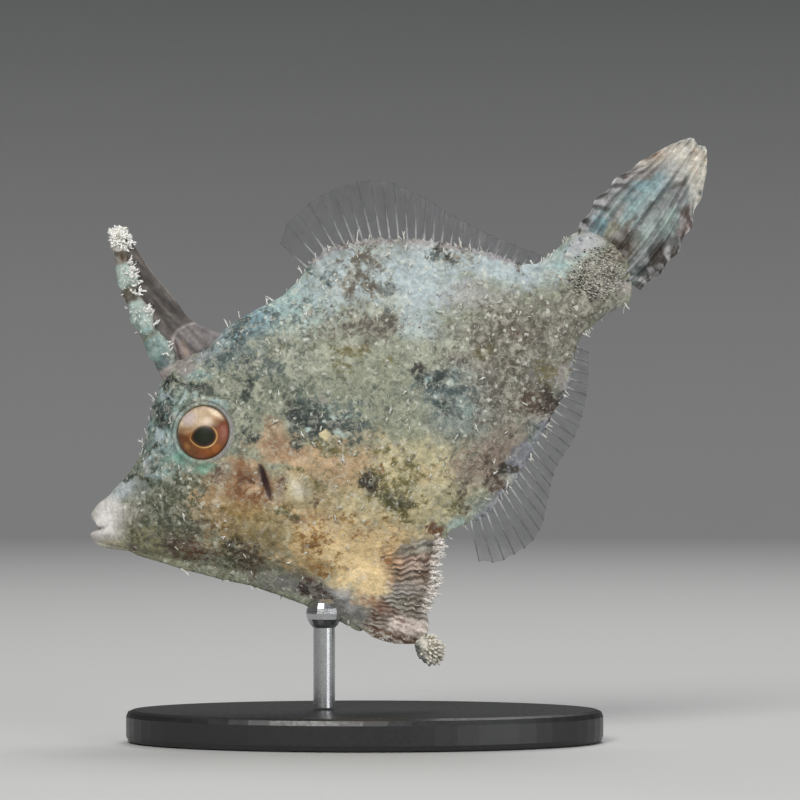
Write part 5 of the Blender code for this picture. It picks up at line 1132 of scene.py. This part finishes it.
def tail_paint(out, spread, places):
    """The tail fin's colours, by how far out a place lies and from its lower (-1) to its upper (1) edge."""
    patch = cloud(places, 2.2, 81)
    out, spread = out + 0.03 * cloud(places, 1.8, 84), spread + 0.12 * cloud(places, 1.8, 86)
    colour = tinted(linear((116, 122, 122)), (162, 170, 169), np.clip(0.5 + 0.9 * patch, 0, 1))
    for name, middle, sizes, strength in TAIL_FIN_PATCHES:
        distance = in_mark(out, spread, middle, sizes, 0) * (1 + 0.3 * patch)
        colour = tinted(colour, name, strength * rise(distance, 0.35, 1.25))
    blobs, shade = cell_field(out * TAIL_FIN_LENGTH, spread * 5.0, 1.5, 85)
    blobs = rise(blobs, 0.35, 0.8) * np.where(shade < 0.5, 1, -1) * rise(out, 0.65, 0.85)
    blobs = 0.6 * blobs * np.clip(0.25 + 0.8 * np.abs(spread), 0, 1)
    bars = np.sin(out * 54 + 3.5 * patch)
    margin = rise(-spread, -0.96, -0.6) * rise(-out, -0.12, 0.02) + 0.6 * rise(spread, -0.96, -0.7)
    for shade, share in (
        ((186, 184, 186), np.clip(blobs, 0, 1)),
        ((74, 68, 68), np.clip(-blobs, 0, 1)),
        ((186, 182, 184), margin * np.clip(1.4 * bars, 0, 1) * 0.85),
        ((76, 66, 64), margin * np.clip(-1.4 * bars, 0, 1) * 0.75),
    ):
        colour = tinted(colour, shade, share)
    return colour


def build_tail_fin(materials):
    """The tail fin, folded like a closed fan, each ray a pleat, with soft lobes along its tip."""
    height, draw = smooth(TAIL_FIN_HEIGHT), np.random.default_rng(TAIL_FIN_SEED)
    count = np.linspace(0, TAIL_FIN_RAYS - 1, (TAIL_FIN_RAYS - 1) * TAIL_FIN_STEP + 1)
    out = np.linspace(0, 1, TAIL_FIN_ROWS)[:, None]
    spread = 1 - 2 * count / (TAIL_FIN_RAYS - 1)
    ray, gap = np.floor(count + 0.5).astype(int), np.floor(count).astype(int)
    phase = np.cos(2 * math.pi * count)
    valley = ((1 - phase) / 2) ** 2
    deep = 0.1 + 0.9 * draw.random(TAIL_FIN_RAYS)[gap] ** 2
    lobes = 0.22 * np.cos(2 * math.pi * count / 3.7 + 0.4) - 0.08 * valley
    x = (TAIL_FIN_LENGTH - 0.5 - TAIL_FIN_SHORTER * np.abs(spread) ** 3.6 + lobes) * out
    z = spread * height(x) * (1 + 0.035 * np.sin(out * 26 + 4 * spread) * np.abs(spread) ** 4)
    flat = in_plane(x, z)
    rough, soft = cloud(flat, 0.9, 83), cloud(flat, 2.6, 88)
    at_tip = rise(1 - out, 0.02, 0.14)
    pleat = draw.uniform(-0.35, 0.35, TAIL_FIN_RAYS)[ray] * np.clip(phase, 0, 1)
    pleat = pleat * np.sin(math.pi * np.minimum(out + 0.25, 1))
    halves = 0.5 + 0.34 * (1 - 0.5 * out) * (phase * (0.3 + 0.7 * deep)) + 0.12 * soft + 0.05 * rough
    halves = halves + 0.3 * at_tip * np.cos(2 * math.pi * count / 1.55) + 0.25 * at_tip * np.clip(rough, 0, 1)
    rounded = np.sqrt(np.clip(1 - np.clip((out - 0.955) / 0.047, 0, 1) ** 2, 0.02, 1))
    points, faces = blade(in_plane(x, z, pleat), np.clip(halves, 0.14, 1.1) * rounded)
    # Painted shade: the colour darkens in the valleys between the pleats, most where they fold deepest
    colour = tail_paint(out, spread, flat) * (0.92 - 0.4 * valley * deep)[:, None]
    # Dark lines of painted shade along the deepest folds, broken up
    crease_shade = deep**2 * rise(phase, -0.93, -0.35) * rise(-out, -0.24, -0.1) * rise(out, 0.7, 0.95)
    crease_shade = crease_shade * np.clip(0.9 + 0.5 * soft, 0, 1)
    broken = np.clip(0.65 + 1.1 * cloud(flat * np.array((0.5, 1, 1.6)), 2.2, 89), 0, 1)
    colour = tinted(colour, (40, 40, 42), crease_shade * broken * 0.8)
    tip = rise(0.94 - out + 0.04 * rough, 0.05, 0.2)
    colour = tinted(colour, (218, 212, 198), tip * np.clip(0.7 + 0.9 * rough, 0, 1))
    colour = tinted(colour, (146, 102, 70), tip * np.clip(1.6 * soft - 0.2, 0, 1) * 0.5)
    x, y, z = points.T
    points = in_plane(*turned(x, z, TAIL_FIN_ROOT, TAIL_FIN_TILT), y)
    masks = np.broadcast_to((0.0, 0.2, 0.15), points.shape)
    colours = np.vstack([colour.reshape(-1, 3)] * 2)
    fin = make("tail_fan", points, faces, materials["skin"], colours, masks)
    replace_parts(fin, "tail_fin")


def build_pectoral(name, node, side, materials):
    """A small clear fan on its fleshy base, held a little out from the flank."""
    turn = Matrix.Rotation(side * PECTORAL_OUT, 3, "Z") @ Matrix.Rotation(math.radians(8), 3, "Y")
    root = skin_point(*np.array(PECTORAL_PLACE), side) + np.array((-0.2, side * 0.1, 0))

    def fan(spread, out, aside=0.0, shorter=0.0):
        length = PECTORAL_LENGTH * (1 - 0.22 * spread**2) * out * (1 - shorter)
        angle = spread * PECTORAL_SPREAD
        up = spread * PECTORAL_ROOT + length * np.sin(angle)
        return in_plane(length * np.cos(angle), up, 0.5 * out**2 + aside)

    def placed(points):
        return points * np.array([1, side, 1]) @ np.array(turn).T + root

    count = np.linspace(0, PECTORAL_RAYS - 1, (PECTORAL_RAYS - 1) * 6 + 1)
    between = np.abs(np.sin(math.pi * count))
    out = np.linspace(0, 1, 24)[:, None]
    local = fan(1 - 2 * count / (PECTORAL_RAYS - 1), out, 0.06 * between, 0.05 * between)
    points, faces = blade(local, np.full(local.shape[:2], 0.04))
    colour = linear((170, 160, 130))
    membrane = make(f"{name}_membrane", placed(points), faces, materials["pectoral film"], colour)
    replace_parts(membrane, node)
    bones = Parts()
    out = np.linspace(0, 1, 12)
    for i in range(PECTORAL_RAYS):
        points = tube_points(fan(1 - 2 * i / (PECTORAL_RAYS - 1), out), 0.11 - 0.07 * out, 6)
        bones.add(placed(points), tube_faces(12, 6), linear((186, 172, 136)))
    bones = bones.make(f"{name}_rays", materials["pectoral ray"], patched=False)


def flap_surface(share, out):
    """Places of the belly flap's middle sheet, by the shares from top to lower bar and from root to edge."""
    root, edge = path_through(FLAP_ROOT)(share), path_through(FLAP_EDGE)(share * 0.98)
    return root + (edge - root) * np.asarray(out)[..., None]


def flap_paint(share, out, level, lift, crusty, fold, broken, grain):
    """The flap's colours: brown furrows and pale folds, partly its own colour and partly painted shade in the
    furrows and painted highlight on the crests, dark at the top and crusted above the bar.
    """

    def patch(mark, noise, far):
        return rise(in_mark(level, lift, *mark) + noise, 0.5, far)

    # Pale on the folds' crests and brown in their furrows: partly the flap's own rows, partly painted
    # highlight and painted shade
    tone = rise(-0.45 * fold - 1.0 * broken - 0.35 * grain, -0.8, 0.35)
    dark = tinted(linear((98, 76, 62)), (106, 98, 86), rise(-share, -0.45, -0.25) * rise(share, 0.6, 0.75))
    pale = tinted(linear((176, 154, 140)), (172, 168, 160), rise(-share, -0.5, -0.2))
    # Whitish tops of the crests: partly a painted highlight
    pale = tinted(pale, (226, 214, 200), 0.8 * rise(-broken, -0.75, -0.35) * rise(-fold, -0.95, -0.3))
    pale = tinted(pale, (206, 164, 122), rise(level, 41.2, 43.6) * rise(share, 0.35, 0.5))
    colour = mixed(dark, pale, tone)
    brown = sum(patch(mark, 0.4 * grain, 1.1) for mark in FLAP_BROWNS)
    for shade, strength in (
        ((158, 160, 146), patch(FLAP_UPPER, 0.2 * broken, 1.2) * (0.3 + 0.5 * tone)),
        ((88, 92, 90), patch(FLAP_DUSK, 0.3 * broken, 1.2) * 0.6),
        ((172, 166, 164), patch(FLAP_LILAC, 0.2 * broken, 1.3) * (0.3 + 0.4 * tone)),
        ((206, 198, 190), rise(1 - out, 0.04, 0.16) * rise(share, 0.62, 0.72) * (0.5 + 0.5 * tone)),
        ((232, 216, 206), crusty * 0.95),
        ((112, 78, 62), np.clip(brown, 0, 1) * 0.75),
    ):
        colour = tinted(colour, shade, strength)
    return colour


def build_flap(materials):
    """The flap of skin under the belly, in wavy folds over the bar of the pelvic bone."""
    share, out = np.meshgrid(np.linspace(0, 1, FLAP_COLUMNS), np.linspace(0, 1, FLAP_ROWS))
    x, z = np.moveaxis(flap_surface(share, out), -1, 0)
    level, lift = levelled(x, z)
    flat = in_plane(x, z)
    sway, grain, crust = cloud(flat, 3.0, 91), cloud(flat, 0.7, 92), np.clip(cloud(flat, 1.3, 93), 0, 1)
    slope = np.interp(lift, (-14.0, -9.0, -4.0), (-0.4, -0.05, 0.22))
    row = (lift - slope * (level - 48)) / FLAP_FOLD + 0.5 * sway + 0.13 * np.sin(level * 4.4 + 5 * sway)
    row = row + 0.22 * cloud(flat, 1.5, 99)
    broken = cloud(in_plane(level / 1.6, row), 1.0, 98)
    turn = 2 * math.pi * row
    fold = np.cos(turn) * np.clip(0.65 + 0.9 * cloud(flat, 1.8, 100), 0.1, 1)
    bar = np.clip((share - 0.7) / 0.3, 0, 1) * np.maximum(out, 0.3)
    inner = rise(level - np.interp(lift, *zip(*FLAP_INNER)) + 0.7 * sway + 0.5 * broken, -1.1, 1.3)
    crusty = rise(in_mark(level, lift, *FLAP_CRUST), 0.5, 1.1)
    folded = (1 - 0.93 * inner) * (1 - 0.55 * crusty) * (1 - 0.35 * out) * (1 - 0.6 * bar)
    halves = 0.2 + 0.24 * folded * (1 + fold + 0.7 * broken) + 0.7 * bar + 0.07 * grain + 0.2 * crust * out**2
    shift = 0.16 * np.sin(turn + 0.8) * (0.4 + 0.6 * out) * (1 - 0.93 * inner) * (1 - 0.5 * crusty)
    points, faces = blade(in_plane(x, z, shift), np.clip(halves, 0.12, 2))
    crusty = crusty * np.clip(0.85 + 0.5 * crust + 0.6 * broken, 0, 1)
    colour = flap_paint(share, out, level, lift, crusty, fold, broken, grain)
    body, body_masks, stain = (layer.reshape(*share.shape, 3) for layer in skin_paint(flat.reshape(-1, 3)))
    # The plain inner part takes the body's colour, a little darker in the furrows and lighter on the crests as
    # painted shade and light
    colour = mixed(colour, body * (0.95 + 0.05 * fold)[..., None], inner)
    masks = mixed(np.broadcast_to((0.0, 0.3, 0.2), colour.shape), body_masks, inner)
    layers = [np.vstack([layer.reshape(-1, 3)] * 2) for layer in (colour, masks, stain)]
    flap = make("flap_skin", points, faces, materials["skin"], *layers)
    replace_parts(flap, "belly_flap")


def build_flap_fringe(materials):
    """The bristly white fringe on the flap's rear edge, and the fine tassels on its folds."""
    coat, draw, edge = Parts(), random.Random(15), path_through(FLAP_EDGE)
    colours = linear((206, 196, 188)), linear((238, 234, 228))
    for clump in np.repeat(range(FLAP_CLUMPS), 26):
        share = 0.03 + 0.46 * (clump + 0.5 + draw.gauss(0, 0.15)) / FLAP_CLUMPS
        x, z = edge(share)
        run = edge(share + 0.01) - edge(share - 0.01)
        outward = unit([-run[1], 0, run[0]])
        side = draw.choice((-1, 1))
        root = np.array([x, side * draw.uniform(0.02, 0.4), z]) - outward * draw.uniform(0, 1.1)
        length = draw.uniform(0.6, 1.2) * (1 - 0.4 * share)
        lie = np.array([0.89, side * draw.uniform(0.1, 0.9), -0.45 + draw.uniform(-0.2, 0.4)]) * 0.7
        patch = (0.05 + 0.9 * share, 0.5 + side * 0.2 + draw.uniform(-0.1, 0.1))
        width = draw.uniform(0.13, 0.2)
        add_cirrus(coat, root, outward * 0.6, lie, length, colours, patch, draw, 2, width, 0.45)
    for strand in range(170):
        share, out = draw.uniform(0.06, 0.98), draw.uniform(0.35, 0.98) ** 0.6
        x, z = flap_surface(share, out)
        side = draw.choice((-1, 1))
        bar = max(0.0, (share - 0.7) / 0.3) * max(out, 0.3)
        root = np.array([x, side * (0.35 + 0.7 * bar), z])
        patch = (0.05 + 0.9 * share, 0.5 + side * (0.05 + 0.3 * out))
        length = draw.uniform(0.25, 0.6)
        add_cirrus(coat, root, (0, side, 0), (0.5, 0, -0.2), length, colours, patch, draw, 1)
    fringe = coat.make("flap_fringe", materials["cirri"])


def tuft_point(direction, out=1.0):
    """A place on the knob at the end of the pelvic bone, in a direction from its middle."""
    x, y, z = (np.asarray(direction) * np.array(TUFT_RADII) * out).T
    return in_plane(*turned(x, z, TUFT_CENTRE, TUFT_TILT), y)


def build_tuft(materials):
    """The knob on the end of the pelvic bone, crusted and set with spiny scales."""
    way = ball_ways(TUFT_RINGS, TUFT_SIDES)
    base = tuft_point(way)
    lumps = 0.22 * cloud(base, 1.7, 95) + 0.22 * np.clip(cloud(base, 0.9, 96), 0, 1)
    points = tuft_point(way, (1 + lumps)[:, None])
    tone = np.clip(0.5 + 1.3 * cloud(base, 1.0, 97), 0, 1)
    colour = tinted(linear((132, 126, 112)), (216, 212, 198), tone)
    colour = tinted(colour, (104, 108, 106), rise(way[:, 0] - 0.3 * way[:, 2], -0.7, -0.1) * 0.85)
    masks = np.broadcast_to((0, 0.2, 0.5), points.shape)
    knob = make("tuft_knob", points, tube_faces(TUFT_RINGS, TUFT_SIDES), materials["skin"], colour, masks)
    clean_poles(knob)
    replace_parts(knob, "pelvic_tuft")
    coat, draw = Parts(), random.Random(19)
    colours = linear((190, 182, 164)), linear((228, 224, 210))
    for i in range(TUFT_STUBS):
        share = (i + 0.5) / TUFT_STUBS
        normal = spiral_way(i, 1 - 2 * share)
        if normal[0] - normal[2] < -0.3 and draw.random() < 0.85:
            continue
        length, width = draw.uniform(0.3, 0.75), draw.uniform(0.2, 0.34)
        patch = (0.05 + 0.9 * (i * GOLDEN_TURN / (2 * math.pi) % 1), 0.05 + 0.9 * i / TUFT_STUBS)
        lie = (0.45, 0, -0.25)
        add_cirrus(coat, tuft_point(normal), normal, lie, length, colours, patch, draw, 2, width, 0.5)
    bristles = coat.make("tuft_bristles", materials["cirri"])


def build_stem_bristles(materials):
    """The patch of bristles that a grown male has on each side of the tail stem."""
    coat, draw = Parts(), random.Random(23)
    (low_x, low_z), (high_x, high_z) = STEM_PATCH
    pale_bristle = linear((110, 104, 96)), linear((232, 230, 222))
    dark_bristle = linear((66, 60, 54)), linear((80, 74, 68))
    for side, i in itertools.product((1, -1), range(STEM_BRISTLES)):
        x = low_x + (high_x - low_x) * ((i + 0.5) / STEM_BRISTLES)
        z = low_z + (high_z - low_z) * ((i * 0.618 + 0.3) % 1)
        x, z = np.array(x + draw.uniform(-0.3, 0.3)), np.array(z + draw.uniform(-0.2, 0.2))
        if in_mark(x, z, *STEM_OVAL) > 1 - 0.35 * draw.random() or x > 81.4:
            continue
        normal = skin_normal(x, z, side)
        root = skin_point(x, z, side) - normal * 0.1
        direction = normal + np.array([0.75 + draw.uniform(-0.2, 0.2), 0, draw.uniform(-0.3, 0.35)])
        colours = pale_bristle if draw.random() > 0.36 else dark_bristle
        length = draw.uniform(0.25, 0.55)
        add_strand(coat, root, direction, length, 0.1, colours, on_unwrap(root)[0], (-0.1, 0, -0.12), 0.5)
    bristles = coat.make("stem_bristles", materials["cirri"])


def over_body(spacing, seed):
    """Places of the side view scattered evenly over the body, clear of the eye and lips."""
    draw, places = random.Random(seed), []
    for i, j in itertools.product(range(int(84 / spacing)), range(int(52 / spacing))):
        x = 1.5 + (i + draw.random()) * spacing
        z = -31 + (j + draw.random()) * spacing
        on_body = 5 <= x <= 81.5 and belly_edge(x) + 0.25 < z < back(x) - 0.2
        if on_body and math.dist((x, z), EYE_PLACE) >= 5.2:
            places.append((x, z))
    return places


def build_cirri(name, side, material):
    """The small white tassels all over one side of the skin, and longer ones clear of its outline."""
    coat, draw, white = Parts(), random.Random(40 + side), linear((232, 232, 224))
    places = np.array(over_body(2.1, 44 + side))
    normals = skin_normal(*places.T, side)
    roots = skin_point(*places.T, side) - normals * 0.12
    feet = mixed(skin_paint(roots)[0], white, np.full(len(roots), 0.35))
    for root, normal, foot, patch in zip(roots, normals, feet, on_unwrap(roots)):
        chance = draw.random()
        length, width, tip = 0.2 + 0.2 * draw.random(), 0.09, mixed(foot, white, 0.5)
        if chance > 0.78:
            length, width, tip = 0.4 + 0.3 * draw.random(), 0.12, white
        if chance > 0.91 and root[0] > 9:
            length, width = 0.75 + 0.5 * draw.random(), 0.17
        angle = draw.gauss(0.9, 0.6)
        lie, branches = (math.cos(angle), 0, math.sin(angle)), 1 + (length > 0.7)
        add_cirrus(coat, root, normal * 0.6, lie, length, (foot, tip), patch, draw, branches, width, 0.35)
    for i in range(74):
        upper = i % 5 < 3
        x = np.array(draw.uniform(8, 80))
        if upper and (18 < x < 29 or x > 78.5) or not upper and 26 < x < 43:
            continue
        edge, up = (back(x), 1) if upper else (belly_edge(x), -1)
        root = np.array([x, side * draw.uniform(0.1, 0.6), edge - 0.15 * up])
        length = draw.uniform(0.35, 0.8) if draw.random() < 0.75 else draw.uniform(0.9, 1.5)
        lie = (draw.uniform(-0.2, 0.6), side * 0.3, 0)
        add_cirrus(coat, root, (0, 0, up), lie, length, (white * 0.8, white), on_unwrap(root)[0], draw, 1)
    piece = coat.make(name, material)


class Shader:
    """A material's nodes, with short ways to add and join them."""

    def __init__(self, name):
        self.material = bpy.data.materials.new(name)
        self.material.use_nodes = True
        self.tree = self.material.node_tree
        self.surface = self.tree.nodes["Principled BSDF"]

    def node(self, kind, settings=(), **inputs):
        """A new node. inputs are values, or the outputs of other nodes, by input name with _ for a space."""
        node = self.tree.nodes.new(kind)
        for setting, value in dict(settings).items():
            setattr(node, setting, value)
        for name, value in inputs.items():
            self.put(node.inputs[name.replace("_", " ")], value)
        return node

    def put(self, socket, value):
        if isinstance(value, bpy.types.NodeSocket):
            self.tree.links.new(value, socket)
        else:
            socket.default_value = value

    def surface_is(self, **values):
        for name, value in values.items():
            self.put(self.surface.inputs[name.replace("_", " ")], value)

    def places(self):
        """The piece's own coordinates, in millimetres."""
        source = self.node("ShaderNodeTexCoord").outputs["Object"]
        scaled = self.node("ShaderNodeVectorMath", {"operation": "SCALE"}, Vector=source)
        scaled.inputs["Scale"].default_value = 1000.0
        return scaled.outputs["Vector"]

    def noise(self, places, scale, detail=3.0, roughness=0.55, distortion=0.0):
        fineness = {"Detail": detail, "Roughness": roughness, "Distortion": distortion}
        return self.node("ShaderNodeTexNoise", Vector=places, Scale=scale, **fineness).outputs["Fac"]

    def cells(self, places, scale):
        return self.node("ShaderNodeTexVoronoi", Vector=places, Scale=scale).outputs["Distance"]

    def ramp(self, value, low, high, from_value=0.0, to_value=1.0):
        settings = {"clamp": True, "interpolation_type": "SMOOTHSTEP"}
        node = self.node("ShaderNodeMapRange", settings, Value=value)
        for i, number in enumerate((low, high, from_value, to_value)):
            node.inputs[i + 1].default_value = number
        return node.outputs["Result"]

    def maths(self, operation, first, second):
        node = self.node("ShaderNodeMath", {"operation": operation})
        self.put(node.inputs[0], first)
        self.put(node.inputs[1], second)
        return node.outputs[0]

    def times(self, first, second):
        return self.maths("MULTIPLY", first, second)

    def plus(self, first, second):
        return self.maths("ADD", first, second)

    def mix(self, share, first, second, blend="MIX"):
        node = self.node("ShaderNodeMix", {"data_type": "RGBA", "blend_type": blend})
        self.put(node.inputs[0], share)
        self.put(node.inputs[6], first)
        self.put(node.inputs[7], second)
        return node.outputs[2]

    def shaded(self, colour, share, dark, light):
        """A colour made darker or lighter from place to place."""
        tone = self.mix(self.ramp(share, 0.3, 0.7), (dark, dark, dark, 1), (light, light, light, 1))
        return self.mix(1.0, colour, tone, "MULTIPLY")

    def paint(self, layer="paint"):
        return self.node("ShaderNodeVertexColor", {"layer_name": layer}).outputs["Color"]

    def bumps(self, height, strength, distance):
        node = self.node("ShaderNodeBump", Height=height, Strength=strength, Distance=distance)
        self.put(self.surface.inputs["Normal"], node.outputs["Normal"])


def rgba(colour):
    return (*linear(colour), 1.0)


def skin_material():
    """Velvety skin: the painted colours, with a pale net, dark specks, white dots and fine spiny scales."""
    shader = Shader("fish_skin")
    places = shader.places()
    masks = shader.node("ShaderNodeSeparateColor", Color=shader.paint("masks"))
    stained, specks, dots = masks.outputs
    mottle = shader.noise(places, 0.5, 4, 0.6, 0.5)
    quiet = shader.ramp(specks, 0.0, 0.2, 0.35, 1.0)
    colour = shader.mix(quiet, shader.paint(), shader.shaded(shader.paint(), mottle, 0.78, 1.2))
    colour = shader.shaded(colour, shader.noise(places, 1.3, 3, 0.55, 0.6), 0.84, 1.14)
    cover = stained
    for scale, detail, roughness, strength in ((0.62, 3, 0.5, 2.0), (1.35, 4, 0.62, 2.8)):
        flecks = shader.maths("SUBTRACT", shader.noise(places, scale, detail, roughness, 0.8), 0.5)
        cover = shader.plus(cover, shader.times(flecks, strength))
    share = shader.times(shader.ramp(cover, 0.14, 0.88), shader.ramp(stained, 0.02, 0.12))
    deep = shader.shaded(shader.paint("stain"), shader.times(cover, 0.5), 1.3, 0.75)
    colour = shader.mix(share, colour, deep)
    dark = shader.ramp(shader.noise(places, 1.5, 4, 0.65, 0.5), 0.47, 0.68)
    colour = shader.mix(shader.times(dark, specks), colour, rgba((66, 70, 62)))
    lighter = shader.mix(0.48, colour, rgba((234, 232, 214)))
    for scale, low, high in ((1.6, 0.53, 0.7), (0.75, 0.51, 0.65)):
        pale = shader.ramp(shader.noise(places, scale, 3, 0.6, 0.8), low, high)
        colour = shader.mix(shader.times(pale, shader.times(dots, 0.8)), colour, lighter)
    strewn = shader.node("ShaderNodeVectorMath", {"operation": "ADD"}, Vector=places)
    shader.put(strewn.inputs[1], shader.node("ShaderNodeTexNoise", Vector=places, Scale=1.4).outputs["Color"])
    dot = shader.ramp(shader.cells(strewn.outputs["Vector"], 0.72), 0.12, 0.24, 1.0, 0.0)
    colour = shader.mix(shader.times(dot, dots), colour, rgba((214, 216, 204)))
    grain = shader.noise(places, 4.0, 3, 0.6)
    colour = shader.shaded(colour, grain, 0.92, 1.08)
    height = shader.plus(shader.times(shader.cells(places, 3.4), -0.5), shader.times(grain, 0.6))
    height = shader.plus(height, shader.times(mottle, 0.8))
    shader.surface_is(Base_Color=colour, Roughness=shader.ramp(grain, 0.3, 0.7, 0.42, 0.62))
    shader.surface.inputs["Specular IOR Level"].default_value = 0.4
    shader.bumps(height, 0.5, 0.0002)
    return shader.material


def cirri_material():
    shader = Shader("fish_cirri")
    places = shader.places()
    tone = shader.noise(places, 3.0, 2)
    shader.surface_is(Base_Color=shader.shaded(shader.paint(), tone, 0.85, 1.1), Roughness=0.5)
    shader.bumps(tone, 0.3, 0.0001)
    return shader.material


def film_material(name, alpha, roughness):
    """Thin clear or dusky skin: its painted colour, with fine threads and stains."""
    shader = Shader(name)
    places = shader.places()
    stain = shader.noise(places, 0.9, 4, 0.6)
    colour = shader.shaded(shader.paint(), stain, 0.75, 1.25)
    shader.surface_is(Base_Color=colour, Roughness=roughness, Alpha=alpha)
    shader.bumps(shader.noise(places, 3.2, 3), 0.35, 0.0001)
    return shader.material


def eye_material():
    shader = Shader("fish_eye")
    places = shader.places()
    grain = shader.noise(places, 6.0, 3)
    shader.surface_is(Base_Color=shader.shaded(shader.paint(), grain, 0.88, 1.1), Roughness=0.4)
    shader.surface.inputs["Specular IOR Level"].default_value = 0.3
    shader.surface.inputs["Coat Weight"].default_value = 0.15
    shader.surface.inputs["Coat Roughness"].default_value = 0.16
    return shader.material


def stand_materials():
    """Satin black for the base and brushed steel for the rod."""
    base = Shader("stand_base_satin")
    places = base.places()
    grain = base.noise(places, 1.6, 5, 0.7)
    base.surface_is(
        Base_Color=base.mix(grain, (0.012, 0.012, 0.013, 1), (0.03, 0.03, 0.031, 1)),
        Roughness=base.ramp(grain, 0.3, 0.7, 0.28, 0.42),
    )
    base.bumps(grain, 0.15, 0.0001)
    rod = Shader("stand_rod_steel")
    places = rod.places()
    stretched = rod.node("ShaderNodeVectorMath", {"operation": "MULTIPLY"}, Vector=places)
    stretched.inputs[1].default_value = (1.0, 1.0, 14.0)
    brushed = rod.noise(stretched.outputs["Vector"], 1.2, 4, 0.6)
    rod.surface_is(
        Base_Color=rod.mix(brushed, (0.42, 0.43, 0.44, 1), (0.62, 0.62, 0.63, 1)),
        Roughness=rod.ramp(brushed, 0.3, 0.7, 0.22, 0.4),
        Metallic=1.0,
    )
    rod.bumps(brushed, 0.1, 0.00005)
    return {"stand_base": base.material, "stand_rod": rod.material}


def dress_stand():
    for node, material in stand_materials().items():
        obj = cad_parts[node]
        if not obj.material_slots:
            obj.data.materials.append(material)
        for slot in obj.material_slots:
            slot.link = "OBJECT"
            slot.material = material


def build_stage():
    """A pale floor that curves up into a grey wall all round."""
    profile = [(radius, 0.0) for radius in (0.0, 0.3, 0.6, STAGE_FLOOR)]
    for angle in np.linspace(0.08, math.pi / 2, 14):
        out, up = STAGE_BEND * math.sin(angle), STAGE_BEND * (1 - math.cos(angle))
        profile.append((STAGE_FLOOR + out, up))
    profile += [(STAGE_FLOOR + STAGE_BEND, height) for height in (0.9, STAGE_TOP)]
    sides = 96
    points = [(0.0, 0.0, 0.0)]
    for radius, height in profile[1:]:
        for j in range(sides):
            angle = 2 * math.pi * j / sides
            points.append((radius * math.cos(angle), radius * math.sin(angle), height))
    faces = [[0, 1 + j, 1 + (j + 1) % sides] for j in range(sides)]
    faces += (grid_faces(len(profile) - 1, sides, closed=True, first=1)[:, ::-1]).tolist()
    mesh = bpy.data.meshes.new("studio")
    mesh.from_pydata(points, [], faces)
    mesh.shade_smooth()
    shader = Shader("studio")
    source = shader.node("ShaderNodeNewGeometry").outputs["Position"]
    parts = shader.node("ShaderNodeSeparateXYZ", Vector=source)
    share = shader.ramp(parts.outputs["Z"], 0.0, 0.42)
    colour = shader.mix(share, (0.56, 0.56, 0.55, 1), (0.11, 0.115, 0.12, 1))
    shader.surface_is(Base_Color=colour, Roughness=0.9)
    mesh.materials.append(shader.material)
    studio = bpy.data.objects.new("studio", mesh)
    bpy.context.scene.collection.objects.link(studio)


def add_light(name, place, size, watts, colour):
    """A square soft light that faces the fish."""
    light = bpy.data.lights.new(name, "AREA")
    light.energy, light.size, light.color = watts, size, colour
    obj = bpy.data.objects.new(name, light)
    obj.location = place
    obj.rotation_euler = (AIM - Vector(place)).to_track_quat("-Z", "Y").to_euler()
    obj.visible_camera = False
    bpy.context.scene.collection.objects.link(obj)


def build_camera_and_lights():
    scene = bpy.context.scene
    camera = bpy.data.cameras.new("camera")
    camera.sensor_width = SENSOR
    camera.lens = SENSOR * CAMERA_DISTANCE / PICTURE_SPAN
    camera.clip_start, camera.clip_end = 0.01, 10
    obj = bpy.data.objects.new("camera", camera)
    obj.location = AIM + Vector((0, -CAMERA_DISTANCE, 0))
    obj.rotation_euler = (math.radians(90), 0, 0)
    scene.collection.objects.link(obj)
    scene.camera = obj
    for light in LIGHTS:
        add_light(*light)
    world = bpy.data.worlds.new("studio_air")
    world.use_nodes = True
    world.node_tree.nodes["Background"].inputs["Color"].default_value = (0.9, 0.93, 1.0, 1)
    world.node_tree.nodes["Background"].inputs["Strength"].default_value = 0.2
    scene.world = world
    scene.view_settings.view_transform = "Standard"


def build():
    build_camera_and_lights()
    build_stage()
    materials = {
        "skin": skin_material(),
        "cirri": cirri_material(),
        "membrane": film_material("fish_membrane", 0.2, 0.35),
        "web": film_material("fish_web", 0.82, 0.45),
        "ray": film_material("fish_ray", 0.7, 0.4),
        "pectoral film": film_material("fish_pectoral_film", 0.07, 0.35),
        "pectoral ray": film_material("fish_pectoral_ray", 0.2, 0.4),
        "eye": eye_material(),
    }
    build_skin(materials["skin"])
    for name, node, side in (("eyeball_right", "eye_right", 1), ("eyeball_left", "eye_left", -1)):
        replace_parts(build_eye(name, side, materials["eye"]), node)
    build_spine(materials)
    build_spine_tufts(materials)
    build_web(materials)
    for fin in SOFT_FINS:
        build_soft_fin(fin, materials)
    build_tail_fin(materials)
    build_pectoral("pectoral_right", "pectoral_fin_right", 1, materials)
    build_pectoral("pectoral_left", "pectoral_fin_left", -1, materials)
    build_flap(materials)
    build_flap_fringe(materials)
    build_tuft(materials)
    build_stem_bristles(materials)
    build_cirri("cirri_left", -1, materials["cirri"])
    build_cirri("cirri_right", 1, materials["cirri"])
    dress_stand()


build()
